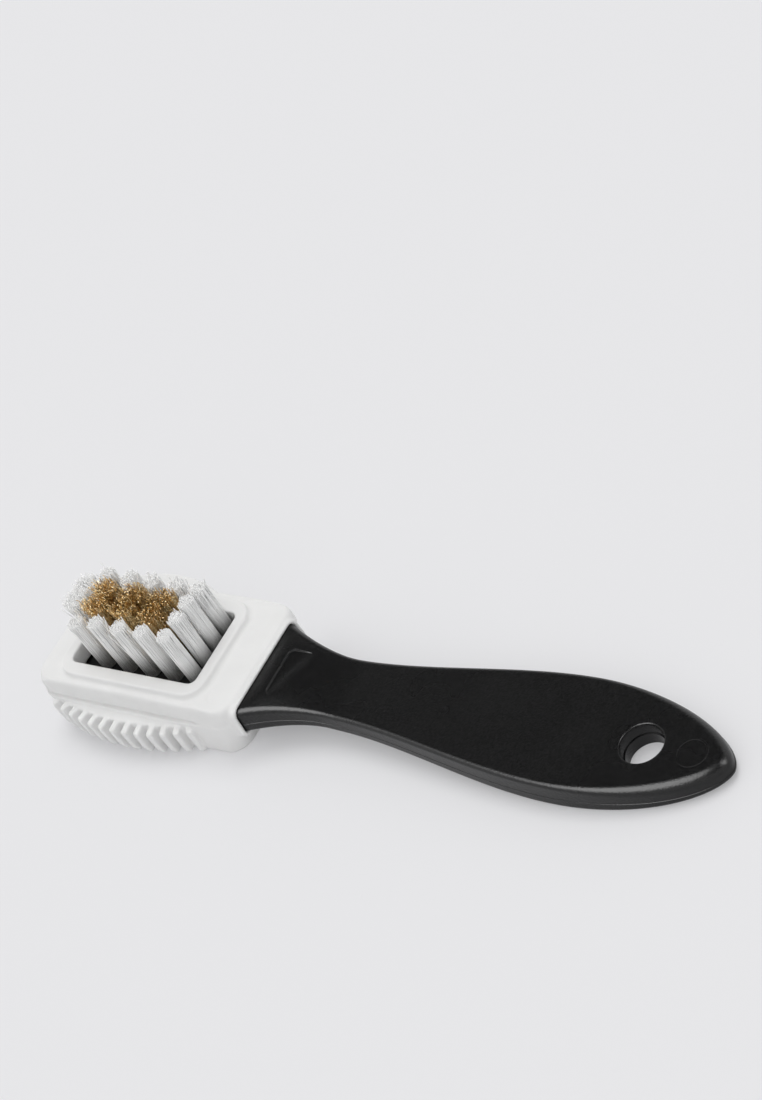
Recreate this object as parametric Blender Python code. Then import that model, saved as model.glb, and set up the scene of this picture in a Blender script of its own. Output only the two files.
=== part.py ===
"""Shoe brush for suede and nubuck: a black plastic handle and head, a pale rubber sleeve pulled over the
head, twenty tufts of nylon and crimped brass, and the metal anchors that hold the tufts in their holes.

The brush lies with its bristles up: X runs from the head to the tip of the handle, Z is up, and the
origin is under the middle of its overall box. Inside the file the head's middle is at X zero.
"""

import math
import random

import bmesh
import bpy
from mathutils import Matrix, Vector

MM = 0.001

# Tufts and the holes that they stand in
TUFT_COLUMNS = 5
TUFT_ROWS = 4
COLUMN_PITCH = 6.28 * MM
ROW_PITCH = 4.1 * MM
FIELD_SHIFT_X = 0.9 * MM
FIELD_SHIFT_Y = 1.0 * MM
HOLE_DIAMETER = 3.8 * MM
HOLE_DEPTH = 6.0 * MM
HOLE_FLOOR = 1.7 * MM
TUFT_RISE = 11.5 * MM
TUFT_SPREAD = 0.3 * MM
TUFT_LEAN_X = 0.2 * MM
TUFT_LEAN_Y = -0.3 * MM
STRAND_INSET = 0.1 * MM
TRIM_SCATTER = 0.35 * MM
STRAND_RINGS = 2
PLUG_RECESS = 0.4 * MM

# Metal anchors, each driven across the fold of its tuft
ANCHOR_LENGTH = 2.3 * MM
ANCHOR_HEIGHT = 1.2 * MM
ANCHOR_THICKNESS = 0.5 * MM

# Clearance between pieces that touch
FIT_GAP = 0.3 * MM

# Opening and rim of the sleeve, from the bristle field outwards
OPENING_SIDE_MARGIN = 2.9 * MM
OPENING_END_MARGIN = 4.34 * MM
OPENING_CORNER = 1.6 * MM
OPENING_EDGE = 0.25 * MM
RECESS_DEPTH = 4.5 * MM
RIM_SIDE_WIDTH = 3.1 * MM
RIM_END_WIDTH = 2.6 * MM
RIM_HEIGHT = 1.5 * MM
RIM_FOOT = 0.9 * MM
RIM_EDGE = 0.35 * MM

# Body of the sleeve below the rim
SHOULDER_SIDE = 0.95 * MM
SHOULDER_END = 6.2 * MM
SHOULDER_ROUND = 1.2 * MM
SHOULDER_DROP = 0.8 * MM
SHOULDER_FALL_REAR = 0.7 * MM
SHOULDER_FALL_FRONT = 1.3 * MM
SIDE_DRAFT = 0.7 * MM
GROOVE_DROP = 5.9 * MM
GROOVE_DEPTH = 0.25 * MM
BODY_CORNER = 4.5 * MM
UNDERSIDE_WALL = 2.0 * MM
UNDERSIDE_ROUND = 0.8 * MM
REAR_RAKE = 1.7 * MM

# Core of the head, moulded in one with the handle
CORE_SIDE_LIP = 2.95 * MM
CORE_END_LIP = 5.0 * MM
CORE_CORNER = 2.0 * MM

# Half-moon ledge with rubber fins on the near side
LEDGE_LENGTH = 40.0 * MM
LEDGE_REACH = 2.0 * MM
LEDGE_DROP = 0.6 * MM
LEDGE_CENTRE_OFFSET = -3.1 * MM
LEDGE_SLOPE = 0.6 * MM
FIN_COUNT = 13
FIN_PITCH = 3.1 * MM
FIN_THICKNESS = 1.4 * MM
FIN_REACH = 2.6 * MM
FIN_END_REACH = 1.0 * MM
FIN_FAN_RADIUS = 38.0 * MM
FIN_FAN_OFFSET = 3.0 * MM
FIN_TOP_FALL = 0.5 * MM
FIN_TUCK = 0.8 * MM
FIN_BEVEL = 1.6 * MM
FIN_GROUND_GAP = 0.5 * MM

# Smooth half-moon lip on the far side
LIP_LENGTH = 34.0 * MM
LIP_REACH = 3.9 * MM
LIP_CENTRE_OFFSET = -8.5 * MM
LIP_TOP_DROP = 2.9 * MM
LIP_TUCK = 1.2 * MM
LIP_UNDERSIDE = 1.6 * MM

# Handle, a flat paddle that grows out of the core
ROOT_SETBACK = 0.3 * MM
ROOT_DROP = 3.25 * MM
ROOT_THICKNESS = 7.7 * MM
NECK_WIDTH = 14.3 * MM
NECK_THICKNESS = 4.6 * MM
NECK_REACH = 18.2 * MM
PADDLE_WIDTH = 25.0 * MM
PADDLE_THICKNESS = 6.0 * MM
PADDLE_REACH = 54.0 * MM
TIP_THICKNESS = 4.1 * MM
TIP_REACH = 33.2 * MM
HANDLE_DROP = 2.3 * MM
HANDLE_DROP_LENGTH = 21.4 * MM
TOP_ROUND = 1.15 * MM
BOTTOM_ROUND = 0.8 * MM
SIDE_FLARE = 0.2 * MM
FACE_MARGIN = 0.8 * MM
HANG_HOLE_DIAMETER = 9.0 * MM
HANG_HOLE_SETBACK = 17.75 * MM
HANG_HOLE_CHAMFER = 0.4 * MM
HANG_HOLE_STEP = 0.35 * MM
THUMB_REST_REACH = 4.25 * MM
THUMB_REST_LENGTH = 6.2 * MM
THUMB_REST_WIDTH = 10.8 * MM
THUMB_REST_SPLAY = 0.6 * MM
THUMB_REST_DEPTH = 0.45 * MM
THUMB_REST_CORNER = 1.0 * MM

# One overrun serves all cuts
OVERRUN = 1.5 * MM

# Counts and shares of the outlines
CORNER_STEPS = 5
SIDE_STEPS = 8
NECK_STEPS = 7
PADDLE_STEPS = 9
TIP_STEPS = 9
ARC_STEPS = 12
HOLE_SIDES = 14
HANG_HOLE_SIDES = 40
ROUND_STEPS = 3
WALL_STEPS = 4
FLARE_POWER = 1.97
TIP_POWER = 0.585
RAKE_POWER = 1.45
SHOULDER_ROUND_SHARE = 0.75
RIM_PROFILE_SHARES = ((1.0, 0.0), (0.5, 0.1), (0.2, 0.4), (0.0, 1.0))

# Sizes that follow from the ones above
GRID_HALF_LENGTH = (TUFT_COLUMNS - 1) * COLUMN_PITCH / 2
GRID_HALF_WIDTH = (TUFT_ROWS - 1) * ROW_PITCH / 2
OPENING_HALF_LENGTH = GRID_HALF_LENGTH + OPENING_END_MARGIN
OPENING_HALF_WIDTH = GRID_HALF_WIDTH + OPENING_SIDE_MARGIN
RIM_HALF_LENGTH = OPENING_HALF_LENGTH + RIM_END_WIDTH
RIM_HALF_WIDTH = OPENING_HALF_WIDTH + RIM_SIDE_WIDTH
HEAD_HALF_LENGTH = RIM_HALF_LENGTH + RIM_FOOT + SHOULDER_END + SIDE_DRAFT
HEAD_HALF_WIDTH = RIM_HALF_WIDTH + RIM_FOOT + SHOULDER_SIDE + SIDE_DRAFT
CORE_HALF_LENGTH = OPENING_HALF_LENGTH + CORE_END_LIP
CORE_HALF_WIDTH = OPENING_HALF_WIDTH + CORE_SIDE_LIP
CORE_BOTTOM = UNDERSIDE_WALL + FIT_GAP
HOLE_BOTTOM = CORE_BOTTOM + HOLE_FLOOR
CORE_TOP = HOLE_BOTTOM + HOLE_DEPTH
HEAD_HEIGHT = CORE_TOP + RECESS_DEPTH
SHOULDER_TOP = HEAD_HEIGHT - RIM_HEIGHT
GROOVE_HEIGHT = HEAD_HEIGHT - GROOVE_DROP
ROOT_TOP = HEAD_HEIGHT - ROOT_DROP
ROOT_HALF_WIDTH = CORE_HALF_WIDTH - ROOT_SETBACK
ROOT_START = CORE_HALF_LENGTH - ROOT_SETBACK
NECK_X = HEAD_HALF_LENGTH + NECK_REACH
PADDLE_X = NECK_X + PADDLE_REACH
TIP_X = PADDLE_X + TIP_REACH
HANG_HOLE_X = TIP_X - HANG_HOLE_SETBACK
TUFT_TOP = HEAD_HEIGHT + TUFT_RISE
MIDDLE_X = (TIP_X + SIDE_FLARE - HEAD_HALF_LENGTH) / 2
NEAR_REACH = HEAD_HALF_WIDTH + LEDGE_REACH + FIN_REACH
FAR_REACH = HEAD_HALF_WIDTH + LIP_REACH
MIDDLE_Y = (FAR_REACH - NEAR_REACH) / 2


def ease(share):
    """Smooth step from 0 to 1."""
    share = min(max(share, 0), 1)
    return share * share * (3 - 2 * share)


def finish(name, colour, roughness, metallic):
    """A material from a plain colour."""
    material = bpy.data.materials.new(name)
    material.use_nodes = True
    shader = material.node_tree.nodes["Principled BSDF"]
    shader.inputs["Base Color"].default_value = (*colour, 1)
    shader.inputs["Roughness"].default_value = roughness
    shader.inputs["Metallic"].default_value = metallic
    material.diffuse_color = (*colour, 1)
    return material


def new_object(name, mesh_data, material, origin):
    """Turns bmesh data into a named object under the brush's origin, shaded smooth except at edges."""
    bmesh.ops.recalc_face_normals(mesh_data, faces=mesh_data.faces)
    mesh = bpy.data.meshes.new(name)
    mesh_data.to_mesh(mesh)
    mesh_data.free()
    mesh.shade_smooth()
    mesh.set_sharp_from_angle(angle=math.radians(35))
    mesh.materials.append(material)
    made = bpy.data.objects.new(name, mesh)
    bpy.context.scene.collection.objects.link(made)
    made.parent = origin
    return made


def cutter(name, mesh_data, origin):
    """A shape that only cuts: left out of renders and shown as wire."""
    tool = new_object(name, mesh_data, finish(name, (1, 0, 0), 1, 0), origin)
    tool.hide_render = True
    tool.display_type = "WIRE"
    return tool


def combine(target, tool, operation):
    """Adds a Boolean with the exact solver to the target."""
    change = target.modifiers.new(f"{operation.lower()} {tool.name}", "BOOLEAN")
    change.operation = operation
    change.object = tool
    change.solver = "EXACT"


def bridge(bm, lower, upper, closed=True):
    """Quads between two rows of vertices of the same length."""
    count = len(lower)
    for i in range(count if closed else count - 1):
        j = (i + 1) % count
        bm.faces.new((lower[i], lower[j], upper[j], upper[i]))


def strip_cap(bm, ring):
    """Closes a ring whose second half mirrors its first with strips from side to side."""
    last = len(ring) - 1
    for i in range(len(ring) // 2 - 1):
        bm.faces.new((ring[i], ring[i + 1], ring[last - i - 1], ring[last - i]))


def quarter_round():
    """Shares of a rounded edge from its side to its face, as (share still inwards, share still upwards)."""
    angles = [math.pi / 2 * i / ROUND_STEPS for i in range(ROUND_STEPS + 1)]
    return [(1 - math.sin(angle), 1 - math.cos(angle)) for angle in angles]


def half_outline(front, rear, half_width, corner):
    """The near half of a rounded rectangle, from its front edge to its rear edge, as (x, y)."""
    corner = min(corner, front, rear, half_width)
    arc = []
    for i in range(CORNER_STEPS + 1):
        angle = math.pi / 2 * i / CORNER_STEPS
        arc.append((corner * (1 - math.cos(angle)), corner * (1 - math.sin(angle)) - half_width))
    straight = front + rear - 2 * corner
    points = [(x - front, y) for x, y in arc]
    points += [(corner - front + straight * i / SIDE_STEPS, -half_width) for i in range(1, SIDE_STEPS)]
    points += [(rear - x, y) for x, y in reversed(arc)]
    return points


def outline_ring(bm, front, rear, half_width, corner, height):
    """A closed ring of vertices round the head; height gives Z from x."""
    near = half_outline(front, rear, half_width, corner)
    far = [(x, -y) for x, y in reversed(near)]
    return [bm.verts.new((x, y, height(x))) for x, y in near + far]


def level(z):
    """The height of a flat ring."""
    return lambda x: z


def shoulder(z):
    """A height that falls away from the rim towards both ends of the head."""
    run = HEAD_HALF_LENGTH - RIM_HALF_LENGTH

    def height(x):
        fall = SHOULDER_FALL_FRONT if x < 0 else SHOULDER_FALL_REAR
        return z - fall * ease((abs(x) - RIM_HALF_LENGTH) / run)

    return height


def rear_at(z):
    """Where the rear wall stands at a height: it rakes in towards the underside."""
    return HEAD_HALF_LENGTH - REAR_RAKE * max(1 - z / GROOVE_HEIGHT, 0) ** RAKE_POWER


def outer_levels():
    """Rings of the sleeve's outside, from the underside up to the foot of the rim."""
    levels = []
    for inward, upward in reversed(quarter_round()):
        inset = UNDERSIDE_ROUND * upward
        z = UNDERSIDE_ROUND * inward
        rear = rear_at(z) - inset
        levels.append((HEAD_HALF_LENGTH - inset, rear, HEAD_HALF_WIDTH - inset, BODY_CORNER - inset, level(z)))
    wall_run = GROOVE_HEIGHT - GROOVE_DEPTH - UNDERSIDE_ROUND
    for i in range(1, WALL_STEPS + 1):
        z = UNDERSIDE_ROUND + wall_run * i / WALL_STEPS
        levels.append((HEAD_HALF_LENGTH, rear_at(z), HEAD_HALF_WIDTH, BODY_CORNER, level(z)))
    inset = GROOVE_DEPTH
    rear = HEAD_HALF_LENGTH - inset
    levels.append((rear, rear, HEAD_HALF_WIDTH - inset, BODY_CORNER, level(GROOVE_HEIGHT)))
    for inward, upward in quarter_round():
        inset = SHOULDER_ROUND * upward
        z = SHOULDER_TOP - SHOULDER_DROP * inward
        side = HEAD_HALF_WIDTH - SIDE_DRAFT - SHOULDER_SIDE * SHOULDER_ROUND_SHARE * upward
        front = HEAD_HALF_LENGTH - SIDE_DRAFT - inset
        levels.append((front, HEAD_HALF_LENGTH - inset, side, BODY_CORNER, shoulder(z)))
    return levels


def rim_levels():
    """Rings of the raised rim, from its foot over its top to the edge of the opening."""
    levels = []
    rise = RIM_HEIGHT - RIM_EDGE
    corner = OPENING_CORNER + RIM_SIDE_WIDTH
    for out_share, up_share in RIM_PROFILE_SHARES:
        out = RIM_FOOT * out_share
        length = RIM_HALF_LENGTH + out
        levels.append((length, length, RIM_HALF_WIDTH + out, corner + out, level(SHOULDER_TOP + rise * up_share)))
    for inward, upward in quarter_round()[1:]:
        inset = RIM_EDGE * upward
        length = RIM_HALF_LENGTH - inset
        z = HEAD_HEIGHT - RIM_EDGE * inward
        levels.append((length, length, RIM_HALF_WIDTH - inset, corner - inset, level(z)))
    return levels


def inner_levels():
    """Rings of the opening and of the cavity that holds the core, from the top down."""
    edge = OPENING_EDGE
    length = OPENING_HALF_LENGTH
    width = OPENING_HALF_WIDTH
    cavity_length = CORE_HALF_LENGTH + FIT_GAP
    cavity_width = CORE_HALF_WIDTH + FIT_GAP
    cavity_corner = CORE_CORNER + FIT_GAP
    roof = CORE_TOP + FIT_GAP
    return [
        (length + edge, length + edge, width + edge, OPENING_CORNER + edge, level(HEAD_HEIGHT)),
        (length, length, width, OPENING_CORNER, level(HEAD_HEIGHT - edge)),
        (length, length, width, OPENING_CORNER, level(roof)),
        (cavity_length, cavity_length, cavity_width, cavity_corner, level(roof)),
        (cavity_length, cavity_length, cavity_width, cavity_corner, level(UNDERSIDE_WALL)),
    ]


def build_sleeve_body(origin, material):
    """The rubber sleeve without its half-moons: outside from the underside up, over the rim and inside."""
    bm = bmesh.new()
    rings = [outline_ring(bm, *size) for size in outer_levels() + rim_levels() + inner_levels()]
    for lower, upper in zip(rings, rings[1:]):
        bridge(bm, lower, upper)
    strip_cap(bm, rings[0])
    strip_cap(bm, rings[-1])
    return new_object("head_sleeve", bm, material, origin)


def moon_width(along, reach, length):
    """How far a half-moon stands out at a distance along from its middle: an arc over its chord."""
    share = min(abs(along) / (length / 2), 1)
    return reach * (1 - share**2)


def build_moon(name, origin, length, centre, side, reach, top, bottom, tuck):
    """A half-moon slab on one side of the head, sunk into the wall, with a sloping top and a tucked foot."""
    bm = bmesh.new()
    wall = HEAD_HALF_WIDTH - SIDE_DRAFT
    inner = wall - OVERRUN / 2
    rows = []
    for i in range(ARC_STEPS + 1):
        along = length * (i / ARC_STEPS - 1 / 2)
        x = centre + along
        out = wall + moon_width(along, reach + SIDE_DRAFT, length)
        foot = max(out - tuck, inner + OVERRUN / 4)
        corners = ((inner, top), (out, top - LEDGE_SLOPE), (foot, bottom), (inner, bottom))
        rows.append([bm.verts.new((x, side * y, z)) for y, z in corners])
    for first, second in zip(rows, rows[1:]):
        bridge(bm, first, second)
    bm.faces.new(rows[0])
    bm.faces.new(rows[-1])
    return cutter(name, bm, origin)


def fin_profile(reach, inner):
    """A fin seen from its side, as (outwards, z): a blunt corner above and a bevel to its foot."""
    top = GROOVE_HEIGHT - LEDGE_DROP - LEDGE_SLOPE
    edge = FIN_THICKNESS / 4
    corner = top - FIN_TOP_FALL
    kink = FIN_GROUND_GAP + FIN_BEVEL
    return [
        (-inner, top),
        (0, top),
        (reach - edge, corner + edge / 2),
        (reach, corner - edge),
        (reach - FIN_TUCK / 4, kink),
        (reach - FIN_TUCK, FIN_GROUND_GAP),
        (-inner, FIN_GROUND_GAP),
    ]


def build_fin(index, origin):
    """One upright rubber fin, standing out from the ledge and fanned about a point behind it."""
    along = (index - (FIN_COUNT - 1) / 2) * FIN_PITCH
    x = LEDGE_CENTRE_OFFSET + along
    turn = math.asin(max(min((x - FIN_FAN_OFFSET) / FIN_FAN_RADIUS, 1), -1))
    share = abs(along) / (FIN_PITCH * (FIN_COUNT - 1) / 2)
    reach = FIN_REACH + (FIN_END_REACH - FIN_REACH) * share**2
    root = HEAD_HALF_WIDTH + moon_width(along, LEDGE_REACH, LEDGE_LENGTH)
    inner = root - HEAD_HALF_WIDTH + OVERRUN
    bm = bmesh.new()
    bm.faces.new([bm.verts.new((-FIN_THICKNESS / 2, -out, z)) for out, z in fin_profile(reach, inner)])
    walls = bmesh.ops.extrude_face_region(bm, geom=bm.faces[:])
    moved = [item for item in walls["geom"] if isinstance(item, bmesh.types.BMVert)]
    bmesh.ops.translate(bm, verts=moved, vec=(FIN_THICKNESS, 0, 0))
    place = Matrix.Translation((x, -root, 0)) @ Matrix.Rotation(turn, 4, "Z")
    bmesh.ops.transform(bm, matrix=place, verts=bm.verts)
    return cutter(f"fin_{index + 1:02d}", bm, origin)


def root_section(grow):
    """The handle's section at its root, drawn out by a gap, as (y, z) round its whole outline."""
    half = ROOT_HALF_WIDTH + grow
    top = ROOT_TOP + grow
    bottom = ROOT_TOP - ROOT_THICKNESS - grow
    side = []
    for inward, upward in quarter_round():
        side.append((half - (TOP_ROUND + grow) * inward, top - (TOP_ROUND + grow) * upward))
    for inward, upward in quarter_round():
        side.append((half + SIDE_FLARE - (BOTTOM_ROUND + grow) * upward, bottom + (BOTTOM_ROUND + grow) * inward))
    return [(-y, z) for y, z in side] + list(reversed(side))


def build_passage(origin):
    """The slot in the sleeve's rear wall that the root of the handle comes out of."""
    bm = bmesh.new()
    section = root_section(FIT_GAP)
    first = [bm.verts.new((ROOT_START - FIT_GAP, y, z)) for y, z in section]
    last = [bm.verts.new((HEAD_HALF_LENGTH + OVERRUN, y, z)) for y, z in section]
    bridge(bm, first, last)
    bm.faces.new(first)
    bm.faces.new(last)
    return cutter("passage", bm, origin)


def build_sleeve(origin, material):
    """The whole sleeve: body, finned half-moon, smooth half-moon and the passage for the handle."""
    sleeve = build_sleeve_body(origin, material)
    foot = FIN_GROUND_GAP + UNDERSIDE_ROUND
    ledge_top = GROOVE_HEIGHT - LEDGE_DROP
    lip_top = HEAD_HEIGHT - LIP_TOP_DROP
    near = ("ledge", origin, LEDGE_LENGTH, LEDGE_CENTRE_OFFSET, -1, LEDGE_REACH, ledge_top, foot, FIN_TUCK)
    far = ("lip", origin, LIP_LENGTH, LIP_CENTRE_OFFSET, 1, LIP_REACH, lip_top, LIP_UNDERSIDE, LIP_TUCK)
    combine(sleeve, build_moon(*near), "UNION")
    combine(sleeve, build_moon(*far), "UNION")
    for index in range(FIN_COUNT):
        combine(sleeve, build_fin(index, origin), "UNION")
    combine(sleeve, build_passage(origin), "DIFFERENCE")
    return sleeve


def handle_outline(inset):
    """The handle's near outline, drawn in by an inset, from its root to its tip as (x, y)."""
    root = ROOT_HALF_WIDTH - inset
    neck = NECK_WIDTH / 2 - inset
    paddle = PADDLE_WIDTH / 2 - inset
    tip = TIP_REACH - inset
    points = [(ROOT_START, -root)]
    for i in range(NECK_STEPS):
        share = i / NECK_STEPS
        width = neck + (root - neck) * (1 - share) ** FLARE_POWER
        points.append((HEAD_HALF_LENGTH + NECK_REACH * share, -width))
    for i in range(PADDLE_STEPS):
        share = i / PADDLE_STEPS
        points.append((NECK_X + PADDLE_REACH * share, -neck - (paddle - neck) * ease(share)))
    for i in range(TIP_STEPS):
        angle = math.pi / 2 * i / TIP_STEPS
        points.append((PADDLE_X + tip * math.sin(angle), -paddle * math.cos(angle) ** (2 * TIP_POWER)))
    points.append((PADDLE_X + tip, 0))
    return points


def handle_top(x):
    """Height of the handle's top face, which dips behind the head."""
    return ROOT_TOP - HANDLE_DROP * ease((x - HEAD_HALF_LENGTH) / HANDLE_DROP_LENGTH)


def handle_bottom(x):
    """Height of the handle's underside: thick at its root, thin at its neck and full at its paddle."""
    thickness = ROOT_THICKNESS
    thickness += (NECK_THICKNESS - ROOT_THICKNESS) * ease((x - HEAD_HALF_LENGTH) / NECK_REACH)
    thickness += (PADDLE_THICKNESS - NECK_THICKNESS) * ease((x - NECK_X) / PADDLE_REACH)
    thickness += (TIP_THICKNESS - PADDLE_THICKNESS) * (max(x - PADDLE_X, 0) / TIP_REACH) ** 2
    return handle_top(x) - thickness


def handle_ring(bm, inset, height):
    """A closed ring of vertices round the handle, with one vertex at its tip."""
    near = handle_outline(inset)
    far = [(x, -y) for x, y in reversed(near[:-1])]
    return [bm.verts.new((x, y, height(x))) for x, y in near + far]


def face_strips(bm, ring):
    """Closes a ring that ends in one tip vertex with strips from side to side."""
    tip = len(ring) // 2
    last = len(ring) - 1
    for i in range(tip - 1):
        bm.faces.new((ring[i], ring[i + 1], ring[last - i - 1], ring[last - i]))
    bm.faces.new((ring[tip - 1], ring[tip], ring[tip + 1]))


def build_handle_plate(origin, material):
    """The paddle from its root in the head to its tip, as rings that run round its outline."""
    bm = bmesh.new()
    rings = [handle_ring(bm, TOP_ROUND + FACE_MARGIN, handle_top)]
    for inward, upward in quarter_round():
        drop = TOP_ROUND * upward
        rings.append(handle_ring(bm, TOP_ROUND * inward, lambda x, drop=drop: handle_top(x) - drop))
    for inward, upward in quarter_round():
        rise = BOTTOM_ROUND * inward
        inset = BOTTOM_ROUND * upward - SIDE_FLARE
        rings.append(handle_ring(bm, inset, lambda x, rise=rise: handle_bottom(x) + rise))
    rings.append(handle_ring(bm, BOTTOM_ROUND + FACE_MARGIN - SIDE_FLARE, handle_bottom))
    for upper, lower in zip(rings, rings[1:]):
        bridge(bm, upper, lower, closed=False)
    face_strips(bm, rings[0])
    face_strips(bm, rings[-1])
    bm.faces.new([ring[0] for ring in rings] + [ring[-1] for ring in reversed(rings)])
    return new_object("handle_body", bm, material, origin)


def build_core(origin):
    """The block inside the sleeve that carries the tufts."""
    bm = bmesh.new()
    length = CORE_HALF_LENGTH
    width = CORE_HALF_WIDTH
    edge = FIT_GAP
    levels = [
        (length, length, width, CORE_CORNER, level(CORE_BOTTOM)),
        (length, length, width, CORE_CORNER, level(CORE_TOP - edge)),
        (length - edge, length - edge, width - edge, CORE_CORNER - edge, level(CORE_TOP)),
    ]
    rings = [outline_ring(bm, *size) for size in levels]
    for lower, upper in zip(rings, rings[1:]):
        bridge(bm, lower, upper)
    strip_cap(bm, rings[0])
    strip_cap(bm, rings[-1])
    return cutter("core", bm, origin)


def upright(bm, centre, low, high, radius, sides):
    """Adds an upright round column to the mesh."""
    place = Matrix.Translation((*centre, (low + high) / 2))
    bmesh.ops.create_cone(
        bm, cap_ends=True, segments=sides, radius1=radius, radius2=radius, depth=high - low, matrix=place
    )


def build_hang_hole(origin):
    """The cut for the hang hole: a chamfer at the top, a small step halfway and a chamfer below."""
    bm = bmesh.new()
    top = handle_top(HANG_HOLE_X)
    bottom = handle_bottom(HANG_HOLE_X)
    middle = (top + bottom) / 2
    radius = HANG_HOLE_DIAMETER / 2
    inner = radius - HANG_HOLE_STEP
    lip = HANG_HOLE_CHAMFER
    levels = [
        (inner + lip, bottom - OVERRUN),
        (inner + lip, bottom),
        (inner, bottom + lip),
        (inner, middle),
        (radius, middle),
        (radius, top - lip),
        (radius + lip, top),
        (radius + lip, top + OVERRUN),
    ]
    rings = []
    for size, z in levels:
        ring = []
        for i in range(HANG_HOLE_SIDES):
            angle = 2 * math.pi * i / HANG_HOLE_SIDES
            ring.append(bm.verts.new((HANG_HOLE_X + size * math.cos(angle), size * math.sin(angle), z)))
        rings.append(ring)
    for lower, upper in zip(rings, rings[1:]):
        bridge(bm, lower, upper)
    bm.faces.new(rings[0])
    bm.faces.new(rings[-1])
    return cutter("hang_hole", bm, origin)


def thumb_rest_plan():
    """The near half of the thumb rest's outline, from its head end to its rear end, as (x, y)."""
    start = HEAD_HALF_LENGTH + THUMB_REST_REACH
    half = THUMB_REST_WIDTH / 2
    corner = THUMB_REST_CORNER
    points = []
    for i in range(CORNER_STEPS + 1):
        angle = math.pi / 2 * i / CORNER_STEPS
        points.append((start + corner * (1 - math.cos(angle)), corner * (1 - math.sin(angle)) - half))
    run = THUMB_REST_LENGTH + OVERRUN - corner
    for i in range(1, WALL_STEPS + 1):
        share = i / WALL_STEPS
        points.append((start + corner + run * share, -half - THUMB_REST_SPLAY * share))
    return points


def build_thumb_rest(origin):
    """A shallow rest behind the head, deepest at the head and running out along the handle."""
    bm = bmesh.new()
    near = thumb_rest_plan()
    start = near[0][0]
    floor = []
    roof = []
    for x, y in near + [(x, -y) for x, y in reversed(near)]:
        depth = THUMB_REST_DEPTH * (1 - (x - start) / THUMB_REST_LENGTH)
        floor.append(bm.verts.new((x, y, handle_top(x) - depth)))
        roof.append(bm.verts.new((x, y, handle_top(x) + OVERRUN)))
    bridge(bm, floor, roof)
    strip_cap(bm, floor)
    strip_cap(bm, roof)
    return cutter("thumb_rest", bm, origin)


def tuft_places():
    """Column, row and centre of every tuft hole."""
    places = []
    for column in range(TUFT_COLUMNS):
        for row in range(TUFT_ROWS):
            x = column * COLUMN_PITCH - GRID_HALF_LENGTH + FIELD_SHIFT_X
            y = row * ROW_PITCH - GRID_HALF_WIDTH + FIELD_SHIFT_Y
            places.append((column, row, x, y))
    return places


def is_brass(column, row):
    """Brass stands in the middle of the field, with nylon all round it."""
    return 0 < column < TUFT_COLUMNS - 1 and 0 < row < TUFT_ROWS - 1


def build_tuft_holes(origin):
    """All the tuft holes as one cutter of separate round columns."""
    bm = bmesh.new()
    for _, _, x, y in tuft_places():
        upright(bm, (x, y), HOLE_BOTTOM, CORE_TOP + OVERRUN / 2, HOLE_DIAMETER / 2, HOLE_SIDES)
    return cutter("tuft_holes", bm, origin)


def build_handle(origin, material):
    """The handle with its core, tuft holes, hang hole and thumb rest."""
    handle = build_handle_plate(origin, material)
    combine(handle, build_core(origin), "UNION")
    combine(handle, build_tuft_holes(origin), "DIFFERENCE")
    combine(handle, build_hang_hole(origin), "DIFFERENCE")
    combine(handle, build_thumb_rest(origin), "DIFFERENCE")
    return handle


def lattice_disc(bm, radius, z):
    """A round face split into equal three-sided cells, six to each ring step."""
    grid = {}
    for q in range(-STRAND_RINGS, STRAND_RINGS + 1):
        for r in range(-STRAND_RINGS, STRAND_RINGS + 1):
            ring = max(abs(q), abs(r), abs(q + r))
            if ring > STRAND_RINGS:
                continue
            flat = Vector((q + r / 2, r * math.sqrt(3) / 2))
            direction = flat.normalized() if ring else flat
            grid[q, r] = bm.verts.new((*(direction * radius * ring / STRAND_RINGS), z))
    cells = []
    for (q, r), corner in grid.items():
        for first, second in (((q + 1, r), (q, r + 1)), ((q + 1, r - 1), (q + 1, r))):
            if first in grid and second in grid:
                cells.append(bm.faces.new((corner, grid[first], grid[second])))
    return cells


def build_tuft(name, material, origin, column_x, row_y, seed):
    """A tuft: straight strands fanned a little, fused to a plug with a slot for the anchor."""
    rng = random.Random(seed)
    radius = HOLE_DIAMETER / 2 - FIT_GAP
    plug_top = CORE_TOP - PLUG_RECESS
    plug_bottom = HOLE_BOTTOM + FIT_GAP
    rise = TUFT_TOP - plug_top
    bm = bmesh.new()
    cells = lattice_disc(bm, radius, plug_top)
    border = [edge for edge in bm.edges if edge.is_boundary]
    skirt = bmesh.ops.extrude_edge_only(bm, edges=border)["geom"]
    lowered = [item for item in skirt if isinstance(item, bmesh.types.BMVert)]
    bmesh.ops.translate(bm, verts=lowered, vec=(0, 0, plug_bottom - plug_top))
    bmesh.ops.contextual_create(bm, geom=[edge for edge in bm.edges if edge.is_boundary])
    bmesh.ops.inset_individual(bm, faces=cells, thickness=STRAND_INSET)
    tips = bmesh.ops.extrude_discrete_faces(bm, faces=cells)["faces"]
    spread = TUFT_SPREAD / radius
    for tip in tips:
        foot = tip.calc_center_median()
        length = rise - rng.random() * TRIM_SCATTER
        shift = Vector((foot.x * spread + TUFT_LEAN_X, foot.y * spread + TUFT_LEAN_Y, length))
        bmesh.ops.translate(bm, verts=tip.verts, vec=shift)
    tuft = new_object(name, bm, material, origin)
    tuft.location = (column_x, row_y, 0)
    combine(tuft, build_anchor_slot(name, origin, column_x, row_y), "DIFFERENCE")
    return tuft


def anchor_box(bm, length, thickness, low, high):
    """An upright flat box across the hole."""
    place = Matrix.LocRotScale((0, 0, (low + high) / 2), None, (length, thickness, high - low))
    bmesh.ops.create_cube(bm, size=1, matrix=place)


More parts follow.
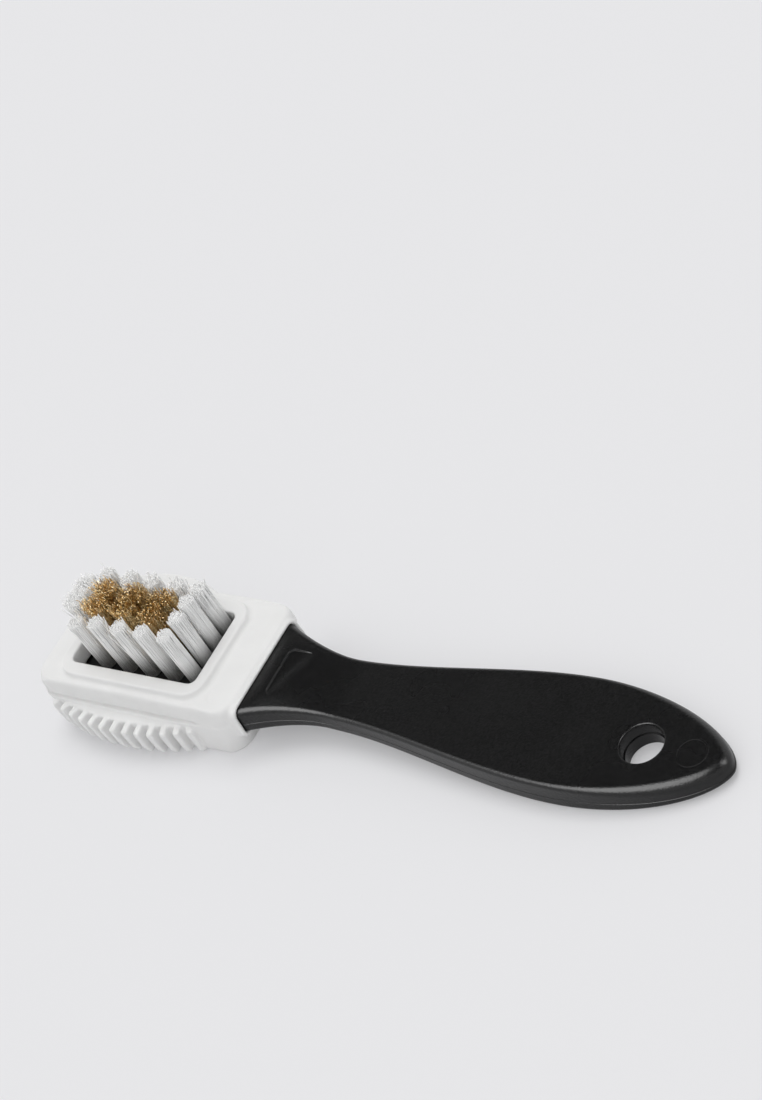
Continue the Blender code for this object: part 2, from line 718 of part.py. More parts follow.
def build_anchor_slot(name, origin, column_x, row_y):
    """The room that the anchor takes in the folded foot of a tuft."""
    bm = bmesh.new()
    low = HOLE_BOTTOM + FIT_GAP
    width = ANCHOR_THICKNESS + 2 * FIT_GAP
    anchor_box(bm, HOLE_DIAMETER + OVERRUN, width, low - OVERRUN, low + ANCHOR_HEIGHT + FIT_GAP)
    slot = cutter(f"slot_of_{name}", bm, origin)
    slot.location = (column_x, row_y, 0)
    return slot


def build_anchor(name, material, origin, column_x, row_y):
    """The flat metal anchor across the foot of a tuft."""
    bm = bmesh.new()
    low = HOLE_BOTTOM + FIT_GAP
    anchor_box(bm, ANCHOR_LENGTH, ANCHOR_THICKNESS, low, low + ANCHOR_HEIGHT)
    anchor = new_object(name, bm, material, origin)
    anchor.location = (column_x, row_y, 0)
    return anchor


def build_tufts(origin, nylon, brass, metal):
    """Every tuft and its anchor, nylon and brass numbered apart."""
    counts = {"nylon": 0, "brass": 0}
    for number, (column, row, x, y) in enumerate(tuft_places(), start=1):
        kind = "brass" if is_brass(column, row) else "nylon"
        counts[kind] += 1
        material = brass if kind == "brass" else nylon
        build_tuft(f"{kind}_tuft_{counts[kind]:02d}", material, origin, x, y, seed=number)
        build_anchor(f"tuft_anchor_{number:02d}", metal, origin, x, y)


def main():
    for old in list(bpy.data.objects):
        bpy.data.objects.remove(old, do_unlink=True)
    plastic = finish("black_plastic", (0.012, 0.012, 0.013), 0.42, 0)
    rubber = finish("pale_rubber", (0.72, 0.73, 0.72), 0.62, 0)
    nylon = finish("clear_nylon", (0.80, 0.81, 0.80), 0.35, 0)
    brass = finish("crimped_brass", (0.62, 0.40, 0.14), 0.35, 1)
    metal = finish("anchor_metal", (0.55, 0.55, 0.56), 0.4, 1)
    origin = bpy.data.objects.new("brush_origin", None)
    bpy.context.scene.collection.objects.link(origin)
    origin.location = (-MIDDLE_X, -MIDDLE_Y, 0)
    build_handle(origin, plastic)
    build_sleeve(origin, rubber)
    build_tufts(origin, nylon, brass, metal)


main()
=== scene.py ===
"""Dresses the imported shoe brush: a black handle, a pale rubber head sleeve, and tufts of nylon and brass.

The brush lies with its bristles up, X runs from the head to the tip of the handle, and Z is up. Shapes are
worked out about the middle of the head on the plane of its underside, and moved to where the frame says.
"""

import logging
import math
from collections.abc import Callable, Iterable, Sequence
from dataclasses import dataclass, replace
from enum import Enum
from functools import partial, reduce

import bmesh
import bpy
from bmesh.types import BMesh
from bpy.types import Material, Mesh, Node, NodeSocket, NodeTree, Object
from mathutils import Matrix, Vector

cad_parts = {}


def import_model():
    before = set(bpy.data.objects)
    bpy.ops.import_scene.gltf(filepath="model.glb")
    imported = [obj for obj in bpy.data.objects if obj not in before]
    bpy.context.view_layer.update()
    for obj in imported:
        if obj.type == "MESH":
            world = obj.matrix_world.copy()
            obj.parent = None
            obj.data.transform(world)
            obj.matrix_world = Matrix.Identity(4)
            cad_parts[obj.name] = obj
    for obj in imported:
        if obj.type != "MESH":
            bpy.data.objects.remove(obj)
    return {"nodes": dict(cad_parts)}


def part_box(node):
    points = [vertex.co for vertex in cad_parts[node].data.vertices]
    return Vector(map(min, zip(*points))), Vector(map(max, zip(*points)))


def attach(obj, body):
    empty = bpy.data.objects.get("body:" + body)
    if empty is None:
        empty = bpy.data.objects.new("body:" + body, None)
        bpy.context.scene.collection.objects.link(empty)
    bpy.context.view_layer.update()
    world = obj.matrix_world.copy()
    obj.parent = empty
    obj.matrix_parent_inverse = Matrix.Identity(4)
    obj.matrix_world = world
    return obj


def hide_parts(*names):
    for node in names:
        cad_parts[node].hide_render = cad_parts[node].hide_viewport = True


MM = 0.001
BODY = "root"
GOLDEN_ANGLE = math.pi * (3 - math.sqrt(5))
LOG = logging.getLogger("shoe_brush")

Height = Callable[[float], float]
Point = tuple[float, float]
Place = tuple[float, float, float]
Colour = tuple[float, float, float]


def ease(share: float) -> float:
    """Smooth step from 0 to 1.

    Args:
        share: How far along, which may lie outside 0 to 1.

    Returns:
        The eased share.
    """
    share = min(max(share, 0.0), 1.0)
    return share * share * (3 - 2 * share)


def quarter_round(steps: int) -> list[Point]:
    """A rounded edge from a side to the face that it meets, as shares of its radius.

    Args:
        steps: Number of steps in the quarter turn.

    Returns:
        How far each point is away from the face, and how far it is in from the side.
    """
    angles = [math.pi / 2 * i / steps for i in range(steps + 1)]
    return [(1 - math.sin(angle), 1 - math.cos(angle)) for angle in angles]


def spread(runs: Iterable[tuple[float, float, int]]) -> list[float]:
    """Even steps through runs of different density.

    Args:
        runs: Start, end and number of steps of each run.

    Returns:
        The places in order, without the end of the last run.
    """
    return [start + (end - start) * i / count for start, end, count in runs for i in range(count)]


def bridge(bm: BMesh, lower: Sequence, upper: Sequence, closed: bool = True) -> None:
    """Adds quads between two rows of vertices of the same length.

    Args:
        bm: The mesh that takes the faces.
        lower: First row of vertices.
        upper: Second row of vertices.
        closed: Whether the rows run round in a ring.
    """
    count = len(lower)
    for i in range(count if closed else count - 1):
        j = (i + 1) % count
        bm.faces.new((lower[i], lower[j], upper[j], upper[i]))


def bridge_all(bm: BMesh, rows: Sequence[Sequence], closed: bool = True) -> None:
    """Adds quads between each row of vertices and the next.

    Args:
        bm: The mesh that takes the faces.
        rows: The rows in order.
        closed: Whether the rows run round in a ring.
    """
    for lower, upper in zip(rows, rows[1:]):
        bridge(bm, lower, upper, closed)


def strip_cap(bm: BMesh, ring: Sequence) -> None:
    """Closes a ring whose second half mirrors its first, with strips from side to side.

    Args:
        bm: The mesh that takes the faces.
        ring: The ring's vertices in order.
    """
    last = len(ring) - 1
    for i in range(len(ring) // 2 - 1):
        bm.faces.new((ring[i], ring[i + 1], ring[last - i - 1], ring[last - i]))


def object_of(name: str, bm: BMesh) -> Object:
    """Turns mesh data into an object in the scene, with its faces outwards.

    Args:
        name: The object's name.
        bm: The mesh data, which is freed.

    Returns:
        The new object.
    """
    bmesh.ops.recalc_face_normals(bm, faces=bm.faces)
    if bm.calc_volume(signed=True) < 0:
        bmesh.ops.reverse_faces(bm, faces=bm.faces)
    mesh = bpy.data.meshes.new(name)
    bm.to_mesh(mesh)
    bm.free()
    made = bpy.data.objects.new(name, mesh)
    bpy.context.scene.collection.objects.link(made)
    return made


def remove(piece: Object) -> None:
    """Takes a helper object out of the file."""
    bpy.data.objects.remove(piece, do_unlink=True)


def turned(name: str, levels: Iterable[Point], centre: Point, sides: int) -> Object:
    """A round cutter on an upright axis.

    Args:
        name: The cutter's name.
        levels: Radius and height of each ring, from below.
        centre: Its axis, as (x, y).
        sides: Number of sides.

    Returns:
        The cutter.
    """
    bm = bmesh.new()
    turns = [(math.cos(angle), math.sin(angle)) for angle in (2 * math.pi * i / sides for i in range(sides))]
    rings = []
    for radius, z in levels:
        rings.append([bm.verts.new((centre[0] + radius * c, centre[1] + radius * s, z)) for c, s in turns])
    bridge_all(bm, rings)
    bm.faces.new(rings[0])
    bm.faces.new(rings[-1])
    return object_of(name, bm)


def bake(source: Object, name: str, sharp_angle: float = 35.0) -> Object:
    """Turns an object with live modifiers into a plain smooth mesh, and removes the original.

    Args:
        source: The object with its modifiers.
        name: Name of the plain object.
        sharp_angle: Edges over this many degrees stay sharp.

    Returns:
        The plain object, unturned and unscaled at the origin.
    """
    depsgraph = bpy.context.evaluated_depsgraph_get()
    mesh = bpy.data.meshes.new_from_object(source.evaluated_get(depsgraph))
    source.modifiers.clear()
    remove(source)
    mesh.name = name
    mesh.shade_smooth()
    mesh.set_sharp_from_angle(angle=math.radians(sharp_angle))
    made = bpy.data.objects.new(name, mesh)
    bpy.context.scene.collection.objects.link(made)
    return made


def combine(target: Object, tool: Object, operation: str) -> None:
    """Adds a Boolean with the exact solver, whose tool is hidden.

    Args:
        target: The object that is cut or added to.
        tool: The other shape.
        operation: Blender's name of the operation.
    """
    change = target.modifiers.new(tool.name, "BOOLEAN")
    change.operation = operation
    change.object = tool
    change.solver = "EXACT"
    tool.hide_render = True


def coat(piece: Object, material: Material) -> None:
    """Gives a piece one material and no other."""
    piece.data.materials.clear()
    piece.data.materials.append(material)


def seat(piece: Object, slot: str, *nodes: str) -> None:
    """Hangs a finished piece on the brush's one body.

    Args:
        piece: The finished piece.
        slot: The record's material slot; not used.
        nodes: The CAD nodes that the piece stands for.
    """
    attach(piece, BODY)
    if nodes:
        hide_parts(*nodes)
    LOG.info("%s: %d faces", piece.name, len(piece.data.polygons))


def middle_of(node: str) -> Vector:
    """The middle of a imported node's box, seen from above."""
    low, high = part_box(node)
    return (low + high).xy / 2


class Nodes:
    """Adds nodes to a node tree, with their inputs given as values or as sockets to link."""

    COLOUR_A = 6
    COLOUR_B = 7
    COLOUR_RESULT = 2

    def __init__(self, tree: NodeTree) -> None:
        """Takes the tree.

        Args:
            tree: The tree that gets the nodes.
        """
        self.tree = tree

    def feed(self, target: NodeSocket, value: object) -> None:
        """Links a socket to an input, or sets the input's value.

        Args:
            target: The input.
            value: A value or another node's socket.
        """
        if isinstance(value, NodeSocket):
            self.tree.links.new(value, target)
        else:
            target.default_value = value

    def node(self, kind: str, inputs: dict | None = None, **settings: object) -> Node:
        """Adds a node.

        Args:
            kind: Blender's name of the node.
            inputs: Values or sockets by the input's name or number.
            settings: The node's own settings.

        Returns:
            The new node.
        """
        made = self.tree.nodes.new(kind)
        for key, value in settings.items():
            setattr(made, key, value)
        for key, value in (inputs or {}).items():
            self.feed(made.inputs[key], value)
        return made

    def group(self, group: NodeTree, inputs: dict[str, object]) -> Node:
        """Places a shared shader group."""
        return self.node("ShaderNodeGroup", inputs, node_tree=group)

    def maths(self, operation: str, *values: object) -> NodeSocket:
        """Adds a maths node.

        Args:
            operation: Blender's name of the operation.
            values: Its operands, as numbers or sockets.

        Returns:
            The result.
        """
        return self.node("ShaderNodeMath", dict(enumerate(values)), operation=operation).outputs[0]

    def total(self, *values: object) -> NodeSocket:
        """The sum of two or more values."""
        return reduce(partial(self.maths, "ADD"), values)

    def product(self, *values: object) -> NodeSocket:
        """The product of two or more values."""
        return reduce(partial(self.maths, "MULTIPLY"), values)

    def squared_share(self, part: object, whole: object) -> NodeSocket:
        """The square of one value over another."""
        return self.maths("POWER", self.maths("ABSOLUTE", self.maths("DIVIDE", part, whole)), 2.0)

    def vector(self, x: object = 0.0, y: object = 0.0, z: object = 0.0) -> NodeSocket:
        """A vector put together from its parts."""
        return self.node("ShaderNodeCombineXYZ", {"X": x, "Y": y, "Z": z}).outputs[0]

    def parts(self, vector: NodeSocket) -> list[NodeSocket]:
        """The X, Y and Z of a vector."""
        return list(self.node("ShaderNodeSeparateXYZ", {0: vector}).outputs)

    def noise(self, place: object, scale: object, detail: float) -> NodeSocket:
        """Soft noise between 0 and 1."""
        inputs = {"Vector": place, "Scale": scale, "Detail": detail}
        return self.node("ShaderNodeTexNoise", inputs).outputs["Fac"]

    def ramp(self, value: object, low: object, high: object, ends: Point = (0.0, 1.0)) -> NodeSocket:
        """Carries a range over to another one, with soft ends.

        Args:
            value: What is carried over.
            low: Where the range starts.
            high: Where the range ends.
            ends: The results at its start and its end.

        Returns:
            The result.
        """
        inputs = {"Value": value, "From Min": low, "From Max": high, "To Min": ends[0], "To Max": ends[1]}
        return self.node("ShaderNodeMapRange", inputs, interpolation_type="SMOOTHSTEP").outputs["Result"]

    def blend(self, share: object, first: object, second: object) -> NodeSocket:
        """A colour between two others."""
        inputs = {"Factor": share, self.COLOUR_A: first, self.COLOUR_B: second}
        return self.node("ShaderNodeMix", inputs, data_type="RGBA").outputs[self.COLOUR_RESULT]


class Tree(Nodes):
    """A node group with named inputs and outputs."""

    def __init__(self, name: str, kind: str) -> None:
        """Makes an empty group.

        Args:
            name: The group's name.
            kind: Blender's type of tree.
        """
        super().__init__(bpy.data.node_groups.new(name, kind))
        self.entry = self.node("NodeGroupInput")
        self.exit = self.node("NodeGroupOutput")

    def takes(self, name: str, kind: str = "Float") -> NodeSocket:
        """Adds a named input, which every user of the group sets.

        Args:
            name: The input's name.
            kind: Blender's type of socket.

        Returns:
            The socket that gives the input inside the tree.
        """
        self.tree.interface.new_socket(name, in_out="INPUT", socket_type=f"NodeSocket{kind}")
        return self.entry.outputs[name]

    def gives(self, name: str, source: NodeSocket, kind: str = "Float") -> None:
        """Adds a named output.

        Args:
            name: The output's name.
            source: What feeds it.
            kind: Blender's type of socket.
        """
        self.tree.interface.new_socket(name, in_out="OUTPUT", socket_type=f"NodeSocket{kind}")
        self.feed(self.exit.inputs[name], source)


class GeometryTree(Tree):
    """A tree of Geometry Nodes that an object can carry."""

    def __init__(self, name: str) -> None:
        """Makes an empty tree."""
        super().__init__(name, "GeometryNodeTree")

    def give_real(self, repeats: NodeSocket, material: NodeSocket) -> None:
        """Gives out repeats as real geometry in one material.

        Args:
            repeats: The instances or meshes.
            material: The input that holds the material.
        """
        real = self.node("GeometryNodeRealizeInstances", {"Geometry": repeats})
        dressed = self.node("GeometryNodeSetMaterial", {"Geometry": real.outputs[0], "Material": material})
        self.gives("Geometry", dressed.outputs[0], "Geometry")

    def grow_on(self, source: Object, values: dict[str, object]) -> None:
        """Puts the tree on an object, with its inputs set by their identifiers.

        Args:
            source: The object that carries the modifier.
            values: Values by the inputs' names.
        """
        modifier = source.modifiers.new(self.tree.name, "NODES")
        modifier.node_group = self.tree
        for item in self.tree.interface.items_tree:
            if item.item_type == "SOCKET" and item.in_out == "INPUT" and item.name in values:
                modifier[item.identifier] = values[item.name]


class SurfaceGroups:
    """Shader effects that more than one finish uses."""

    GRAIN_DETAIL = 3.0
    CLOUD_DETAIL = 2.0
    CLOUD_SCALE = 0.03
    PATCH_DETAIL = 3.0
    PATCH_RANGE = (0.25, 0.75)

    def __init__(self) -> None:
        """Builds each group once."""
        self.grain = self.build_grain()
        self.mottle = self.build_mottle()

    def build_grain(self) -> NodeTree:
        """The fine skin of a moulded piece.

        Returns:
            A group that gives a height for bump, and a roughness that changes slowly over the surface.
        """
        tree = Tree("moulded_grain", "ShaderNodeTree")
        size = tree.takes("Grain Size")
        rough = tree.takes("Roughness")
        spread = tree.takes("Roughness Spread")
        place = tree.node("ShaderNodeTexCoord").outputs["Object"]
        scale = tree.maths("DIVIDE", 1.0, size)
        cloud = tree.noise(place, tree.product(scale, self.CLOUD_SCALE), self.CLOUD_DETAIL)
        swing = tree.maths("SUBTRACT", cloud, 0.5)
        tree.gives("Height", tree.noise(place, scale, self.GRAIN_DETAIL))
        tree.gives("Roughness", tree.total(rough, tree.product(swing, spread)))
        return tree.tree

    def build_mottle(self) -> NodeTree:
        """A slow change between two colours over a surface.

        Returns:
            A group that gives the colour.
        """
        tree = Tree("slow_mottle", "ShaderNodeTree")
        first = tree.takes("Colour", "Color")
        second = tree.takes("Second Colour", "Color")
        size = tree.takes("Patch Size")
        place = tree.node("ShaderNodeTexCoord").outputs["Object"]
        patches = tree.noise(place, tree.maths("DIVIDE", 1.0, size), self.PATCH_DETAIL)
        tree.gives("Colour", tree.blend(tree.ramp(patches, *self.PATCH_RANGE), first, second), "Color")
        return tree.tree


class Shader(Nodes):
    """A material with one Principled shader, and the nodes that feed it."""

    def __init__(self, name: str) -> None:
        """Makes the material.

        Args:
            name: The material's name.
        """
        self.material = bpy.data.materials.new(name)
        self.material.use_nodes = True
        super().__init__(self.material.node_tree)
        self.principled = self.tree.nodes["Principled BSDF"]

    def set(self, **values: object) -> None:
        """Sets or feeds the shader's own sockets, by name with underscores for spaces."""
        for key, value in values.items():
            self.feed(self.principled.inputs[key.replace("_", " ")], value)

    def bump(self, height: NodeSocket, distance: float, strength: float) -> Node:
        """Turns a height into the shader's normal.

        Args:
            height: The height, as a share of the distance.
            distance: How high a height of 1 stands.
            strength: Share of the effect.

        Returns:
            The bump node.
        """
        bump = self.node("ShaderNodeBump", {"Height": height, "Distance": distance, "Strength": strength})
        self.set(Normal=bump.outputs["Normal"])
        return bump


@dataclass(frozen=True)
class MouldedFinish:
    """A moulded plastic or rubber: a slow change of colour under a fine grain."""

    name: str
    colour: Colour
    second_colour: Colour
    patch: float
    roughness: float
    roughness_spread: float
    grain: float
    grain_depth: float
    grain_strength: float
    specular: float
    subsurface: float = 0.0
    subsurface_radius: float = 1.0 * MM

    def build(self, groups: SurfaceGroups) -> Material:
        """Makes the material.

        Args:
            groups: The shared shader groups.

        Returns:
            The material.
        """
        shader = Shader(self.name)
        colours = {"Colour": (*self.colour, 1.0), "Second Colour": (*self.second_colour, 1.0)}
        mottle = shader.group(groups.mottle, {**colours, "Patch Size": self.patch})
        rough = {"Roughness": self.roughness, "Roughness Spread": self.roughness_spread}
        grain = shader.group(groups.grain, {**rough, "Grain Size": self.grain})
        shader.bump(grain.outputs["Height"], self.grain_depth, self.grain_strength)
        shader.set(
            Base_Color=mottle.outputs["Colour"],
            Roughness=grain.outputs["Roughness"],
            Specular_IOR_Level=self.specular,
            Subsurface_Weight=self.subsurface,
            Subsurface_Radius=(1.0, 1.0, 1.0),
            Subsurface_Scale=self.subsurface_radius,
        )
        return shader.material


@dataclass(frozen=True)
class FilamentFinish:
    """Filaments whose tone differs from strand to strand, with painted shade that darkens them towards the
    block they stand in.

    Attributes:
        foot: Colour of the painted shade at its darkest height, from which it rises to the strand's own tone
            higher up.
        lifted: How far the shading turns up to the sky, which stands for light passed on inside a bundle.
    """

    name: str
    dark: Colour
    light: Colour
    roughness: float
    metallic: float
    foot: Colour
    painted_shade_darkest_height: float
    painted_shade_end_height: float
    grain: float
    grain_depth: float
    sheen: float = 0.0
    lifted: float = 0.0
    roughness_spread: float = 0.1
    grain_strength: float = 0.5
    sheen_roughness: float = 0.6

    def build(self, groups: SurfaceGroups) -> Material:
        """Makes the material, which reads the tone that each strand carries.

        Args:
            groups: The shared shader groups.

        Returns:
            The material.
        """
        shader = Shader(self.name)
        tone = shader.node("ShaderNodeAttribute", attribute_name=TuftTree.TONE)
        strand = shader.blend(tone.outputs["Fac"], (*self.dark, 1.0), (*self.light, 1.0))
        # Painted shade: towards the block the strand's tone darkens to the foot colour, standing in for the
        # shade down inside the bundle.
        height = shader.parts(shader.node("ShaderNodeTexCoord").outputs["Object"])[2]
        rise = shader.ramp(height, self.painted_shade_darkest_height, self.painted_shade_end_height)
        rough = {"Roughness": self.roughness, "Roughness Spread": self.roughness_spread}
        grain = shader.group(groups.grain, {**rough, "Grain Size": self.grain})
        surface = shader.node("ShaderNodeNewGeometry").outputs["Normal"]
        lift = (0.0, 0.0, self.lifted)
        raised = shader.node("ShaderNodeVectorMath", {0: surface, 1: lift}, operation="ADD").outputs[0]
        normal = shader.node("ShaderNodeVectorMath", {0: raised}, operation="NORMALIZE").outputs[0]
        bump = shader.bump(grain.outputs["Height"], self.grain_depth, self.grain_strength)
        shader.feed(bump.inputs["Normal"], normal)
        shader.set(
            Base_Color=shader.blend(rise, (*self.foot, 1.0), strand),
            Roughness=grain.outputs["Roughness"],
            Metallic=self.metallic,
            Sheen_Weight=self.sheen,
            Sheen_Roughness=self.sheen_roughness,
        )
        return shader.material


BLACK_PLASTIC = MouldedFinish(
    name="black_plastic_finish",
    colour=(0.0026, 0.0026, 0.0027),
    second_colour=(0.0094, 0.0094, 0.0096),
    patch=0.55 * MM,
    roughness=0.28,
    roughness_spread=0.10,
    grain=0.45 * MM,
    grain_depth=0.05 * MM,
    grain_strength=1.0,
    specular=0.35,
)
PALE_RUBBER = MouldedFinish(
    name="pale_rubber_finish",
    colour=(0.805, 0.805, 0.80),
    second_colour=(0.775, 0.775, 0.77),
    patch=7 * MM,
    roughness=0.55,
    roughness_spread=0.14,
    grain=0.25 * MM,
    grain_depth=0.02 * MM,
    grain_strength=0.35,
    specular=0.25,
    subsurface=0.12,
)
CLEAR_NYLON = FilamentFinish(
    name="clear_nylon_finish",
    dark=(0.97, 0.97, 0.965),
    light=(1.0, 1.0, 0.995),
    roughness=0.32,
    metallic=0.0,
    # Painted shade: the nylon darkens to this grey towards the block.
    foot=(0.10, 0.10, 0.095),
    painted_shade_darkest_height=10.0 * MM,
    painted_shade_end_height=19.0 * MM,
    grain=0.3 * MM,
    grain_depth=0.01 * MM,
    sheen=0.8,
    lifted=0.45,
)
CRIMPED_BRASS = FilamentFinish(
    name="crimped_brass_finish",
    dark=(0.58, 0.37, 0.14),
    light=(1.0, 0.86, 0.56),
    roughness=0.31,
    metallic=1.0,
    # Painted shade: the brass darkens to this brown towards the block.
    foot=(0.20, 0.12, 0.04),
    painted_shade_darkest_height=10.0 * MM,
    painted_shade_end_height=19.0 * MM,
    grain=0.1 * MM,
    grain_depth=0.01 * MM,
)
ANCHOR_STEEL = MouldedFinish(
    name="anchor_metal_finish",
    colour=(0.52, 0.52, 0.53),
    second_colour=(0.44, 0.44, 0.45),
    patch=1 * MM,
    roughness=0.4,
    roughness_spread=0.2,
    grain=0.08 * MM,
    grain_depth=0.01 * MM,
    grain_strength=0.6,
    specular=0.5,
)
FINISHES = {
    "black_plastic": BLACK_PLASTIC,
    "pale_rubber": PALE_RUBBER,
    "clear_nylon": CLEAR_NYLON,
    "crimped_brass": CRIMPED_BRASS,
    "anchor_metal": ANCHOR_STEEL,
}


@dataclass(frozen=True)
class Frame:
    """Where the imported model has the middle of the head, and how high its tufts reach."""

    middle: Vector
    tuft_top: float

    @classmethod
    def read(cls, head_half_length: float) -> "Frame":
        """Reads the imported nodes' boxes.

        Args:
            head_half_length: Half of the sleeve's length.

        Returns:
            The frame's places.
        """
        sleeve_low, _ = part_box("head_sleeve")
        _, tuft_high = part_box("nylon_tuft_01")
        middle = Vector((sleeve_low.x + head_half_length, middle_of("handle_body").y, sleeve_low.z))
        return cls(middle, tuft_high.z)

    def place(self, piece: Object) -> None:
        """Moves a piece's mesh from the head's middle to its place in the frame."""
        piece.data.transform(Matrix.Translation(self.middle))


def level(z: float) -> Height:
    """The height of a flat ring."""
    return lambda x: z


@dataclass(frozen=True)
class Ring:
    """A rounded rectangle round the head at one height, whose far side may differ from its near side.

    Attributes:
        far_out: How much further out the far side stands than the near side.
        far_rear_corner: Radius of the far rear corner, or 0 where it is the same as the others.
        front_corner: Radius of both front corners, or 0 where it is the same as the others.
    """

    front: float
    rear: float
    half_width: float
    corner: float
    height: Height
    far_out: float = 0.0
    far_rear_corner: float = 0.0
    front_corner: float = 0.0

    @classmethod
    def even(cls, half_length: float, half_width: float, corner: float, z: float) -> "Ring":
        """A flat ring that is the same on all sides.

        Args:
            half_length: Half of its length.
            half_width: Half of its width.
            corner: Radius of its corners.
            z: Its height.

        Returns:
            The ring.
        """
        return cls(half_length, half_length, half_width, corner, level(z))

    def side(self, width: float, rear_corner: float, corner_steps: int, side_steps: int) -> list[Point]:
        """Points along one side, from the front wall round both corners to the rear wall.

        Args:
            width: How far the side stands out.
            rear_corner: Radius of the rear corner.
            corner_steps: Steps in each corner.
            side_steps: Steps along the side.

        Returns:
            Points (x, y) in order.
        """
        front = min(self.front_corner or self.corner, self.front, width)
        rear = min(rear_corner, self.rear, width)
        turns = [math.pi / 2 * i / corner_steps for i in range(corner_steps + 1)]
        points = [(front * (1 - math.cos(a)) - self.front, width - front * (1 - math.sin(a))) for a in turns]
        run = self.front + self.rear - front - rear
        points += [(front - self.front + run * i / side_steps, width) for i in range(1, side_steps)]
        points += [(self.rear - rear * (1 - math.sin(a)), width - rear * (1 - math.cos(a))) for a in turns]
        return points

    def vertices(self, bm: BMesh, corner_steps: int, side_steps: int) -> list:
        """Adds the ring's vertices.

        Args:
            bm: The mesh that takes them.
            corner_steps: Steps in each corner.
            side_steps: Steps along each side.

        Returns:
            The vertices in order, near half first.
        """
        near = self.side(self.half_width, self.corner, corner_steps, side_steps)
        far_corner = self.far_rear_corner or self.corner
        far = self.side(self.half_width + self.far_out, far_corner, corner_steps, side_steps)
        points = [(x, -y) for x, y in near] + list(reversed(far))
        return [bm.verts.new((x, y, self.height(x))) for x, y in points]


@dataclass(frozen=True)
class Head:
    """Sizes of the head that the sleeve, the core and the handle's root share."""

    half_length: float = 27.3 * MM
    half_width: float = 14.7 * MM
    opening_half_length: float = 16.9 * MM
    opening_half_width: float = 9.05 * MM
    rim_half_length: float = 19.5 * MM
    rim_half_width: float = 12.15 * MM
    core_half_length: float = 21.9 * MM
    core_half_width: float = 12.0 * MM
    core_corner: float = 2.0 * MM
    core_bottom: float = 2.3 * MM
    core_top: float = 10.0 * MM
    height: float = 14.5 * MM
    heel_reach: float = 20.0 * MM
    fit_gap: float = 0.3 * MM
    root_gap: float = 0.1 * MM
    root_top: float = 10.85 * MM
    root_thickness: float = 6.0 * MM
    root_half_width: float = 11.7 * MM
    root_flare: float = 0.2 * MM
    root_top_round: float = 1.5 * MM
    root_bottom_round: float = 0.8 * MM

    def root_section(self, grow_by: float, steps: int = 6) -> list[Point]:
        """The handle's section where it leaves the head.

        Args:
            grow_by: How far the outline is drawn out.
            steps: Steps in each rounded corner.

        Returns:
            Points (y, z) round the section, from the near side's top over both edges and back.
        """
        half = self.root_half_width + grow_by
        top = self.root_top + grow_by
        bottom = self.root_top - self.root_thickness - grow_by
        upper = self.root_top_round + grow_by
        lower = self.root_bottom_round + grow_by
        side = [(half - upper * inside, top - upper * away) for inside, away in quarter_round(steps)]
        for away, inside in quarter_round(steps):
            side.append((half + self.root_flare - lower * inside, bottom + lower * away))
        return [(-y, z) for y, z in side] + list(reversed(side))


class FinTree(GeometryTree):
    """Geometry Nodes that repeat one rubber fin along the half-moon ledge."""

    def __init__(self) -> None:
        """Builds the tree."""
        super().__init__("ledge_fins")
        fin = self.takes("Fin", "Geometry")
        count = self.takes("Count", "Int")
        pitch = self.takes("Pitch")
        centre = self.takes("Centre Offset")
        wall = self.takes("Wall")
        length = self.takes("Ledge Length")
        reach = self.takes("Ledge Reach")
        radius = self.takes("Fan Radius")
        offset = self.takes("Fan Offset")
        end_share = self.takes("End Share")
        material = self.takes("Material", "Material")
        index = self.node("GeometryNodeInputIndex").outputs[0]
        half_count = self.maths("DIVIDE", self.maths("SUBTRACT", count, 1.0), 2.0)
        along = self.product(self.maths("SUBTRACT", index, half_count), pitch)
        x = self.total(centre, along)
        bow = self.squared_share(along, self.product(length, 0.5))
        out = self.total(wall, self.product(reach, self.maths("SUBTRACT", 1.0, bow)))
        spot = self.vector(x, self.product(out, -1.0))
        points = self.node("GeometryNodePoints", {"Count": count, "Position": spot})
        lean = self.maths("DIVIDE", self.maths("SUBTRACT", x, offset), radius)
        share = self.squared_share(along, self.product(half_count, pitch))
        stretch = self.total(1.0, self.product(self.maths("SUBTRACT", end_share, 1.0), share))
        fins = self.node(
            "GeometryNodeInstanceOnPoints",
            {
                "Points": points.outputs[0],
                "Instance": fin,
                "Rotation": self.vector(z=self.maths("ARCSINE", lean)),
                "Scale": self.vector(1.0, stretch, 1.0),
            },
        )
        self.give_real(fins.outputs[0], material)


@dataclass(frozen=True)
class Moon:
    """A half-moon that stands out from one side of the head.

    Attributes:
        side: Minus 1 on the near side, 1 on the far side.
        top: Height of its top at the wall.
        tuck: How far its foot is drawn in.
        nose: Radius of its outer edge.
    """

    length: float
    centre: float
    side: int
    reach: float
    top: float
    bottom: float
    tuck: float
    nose: float


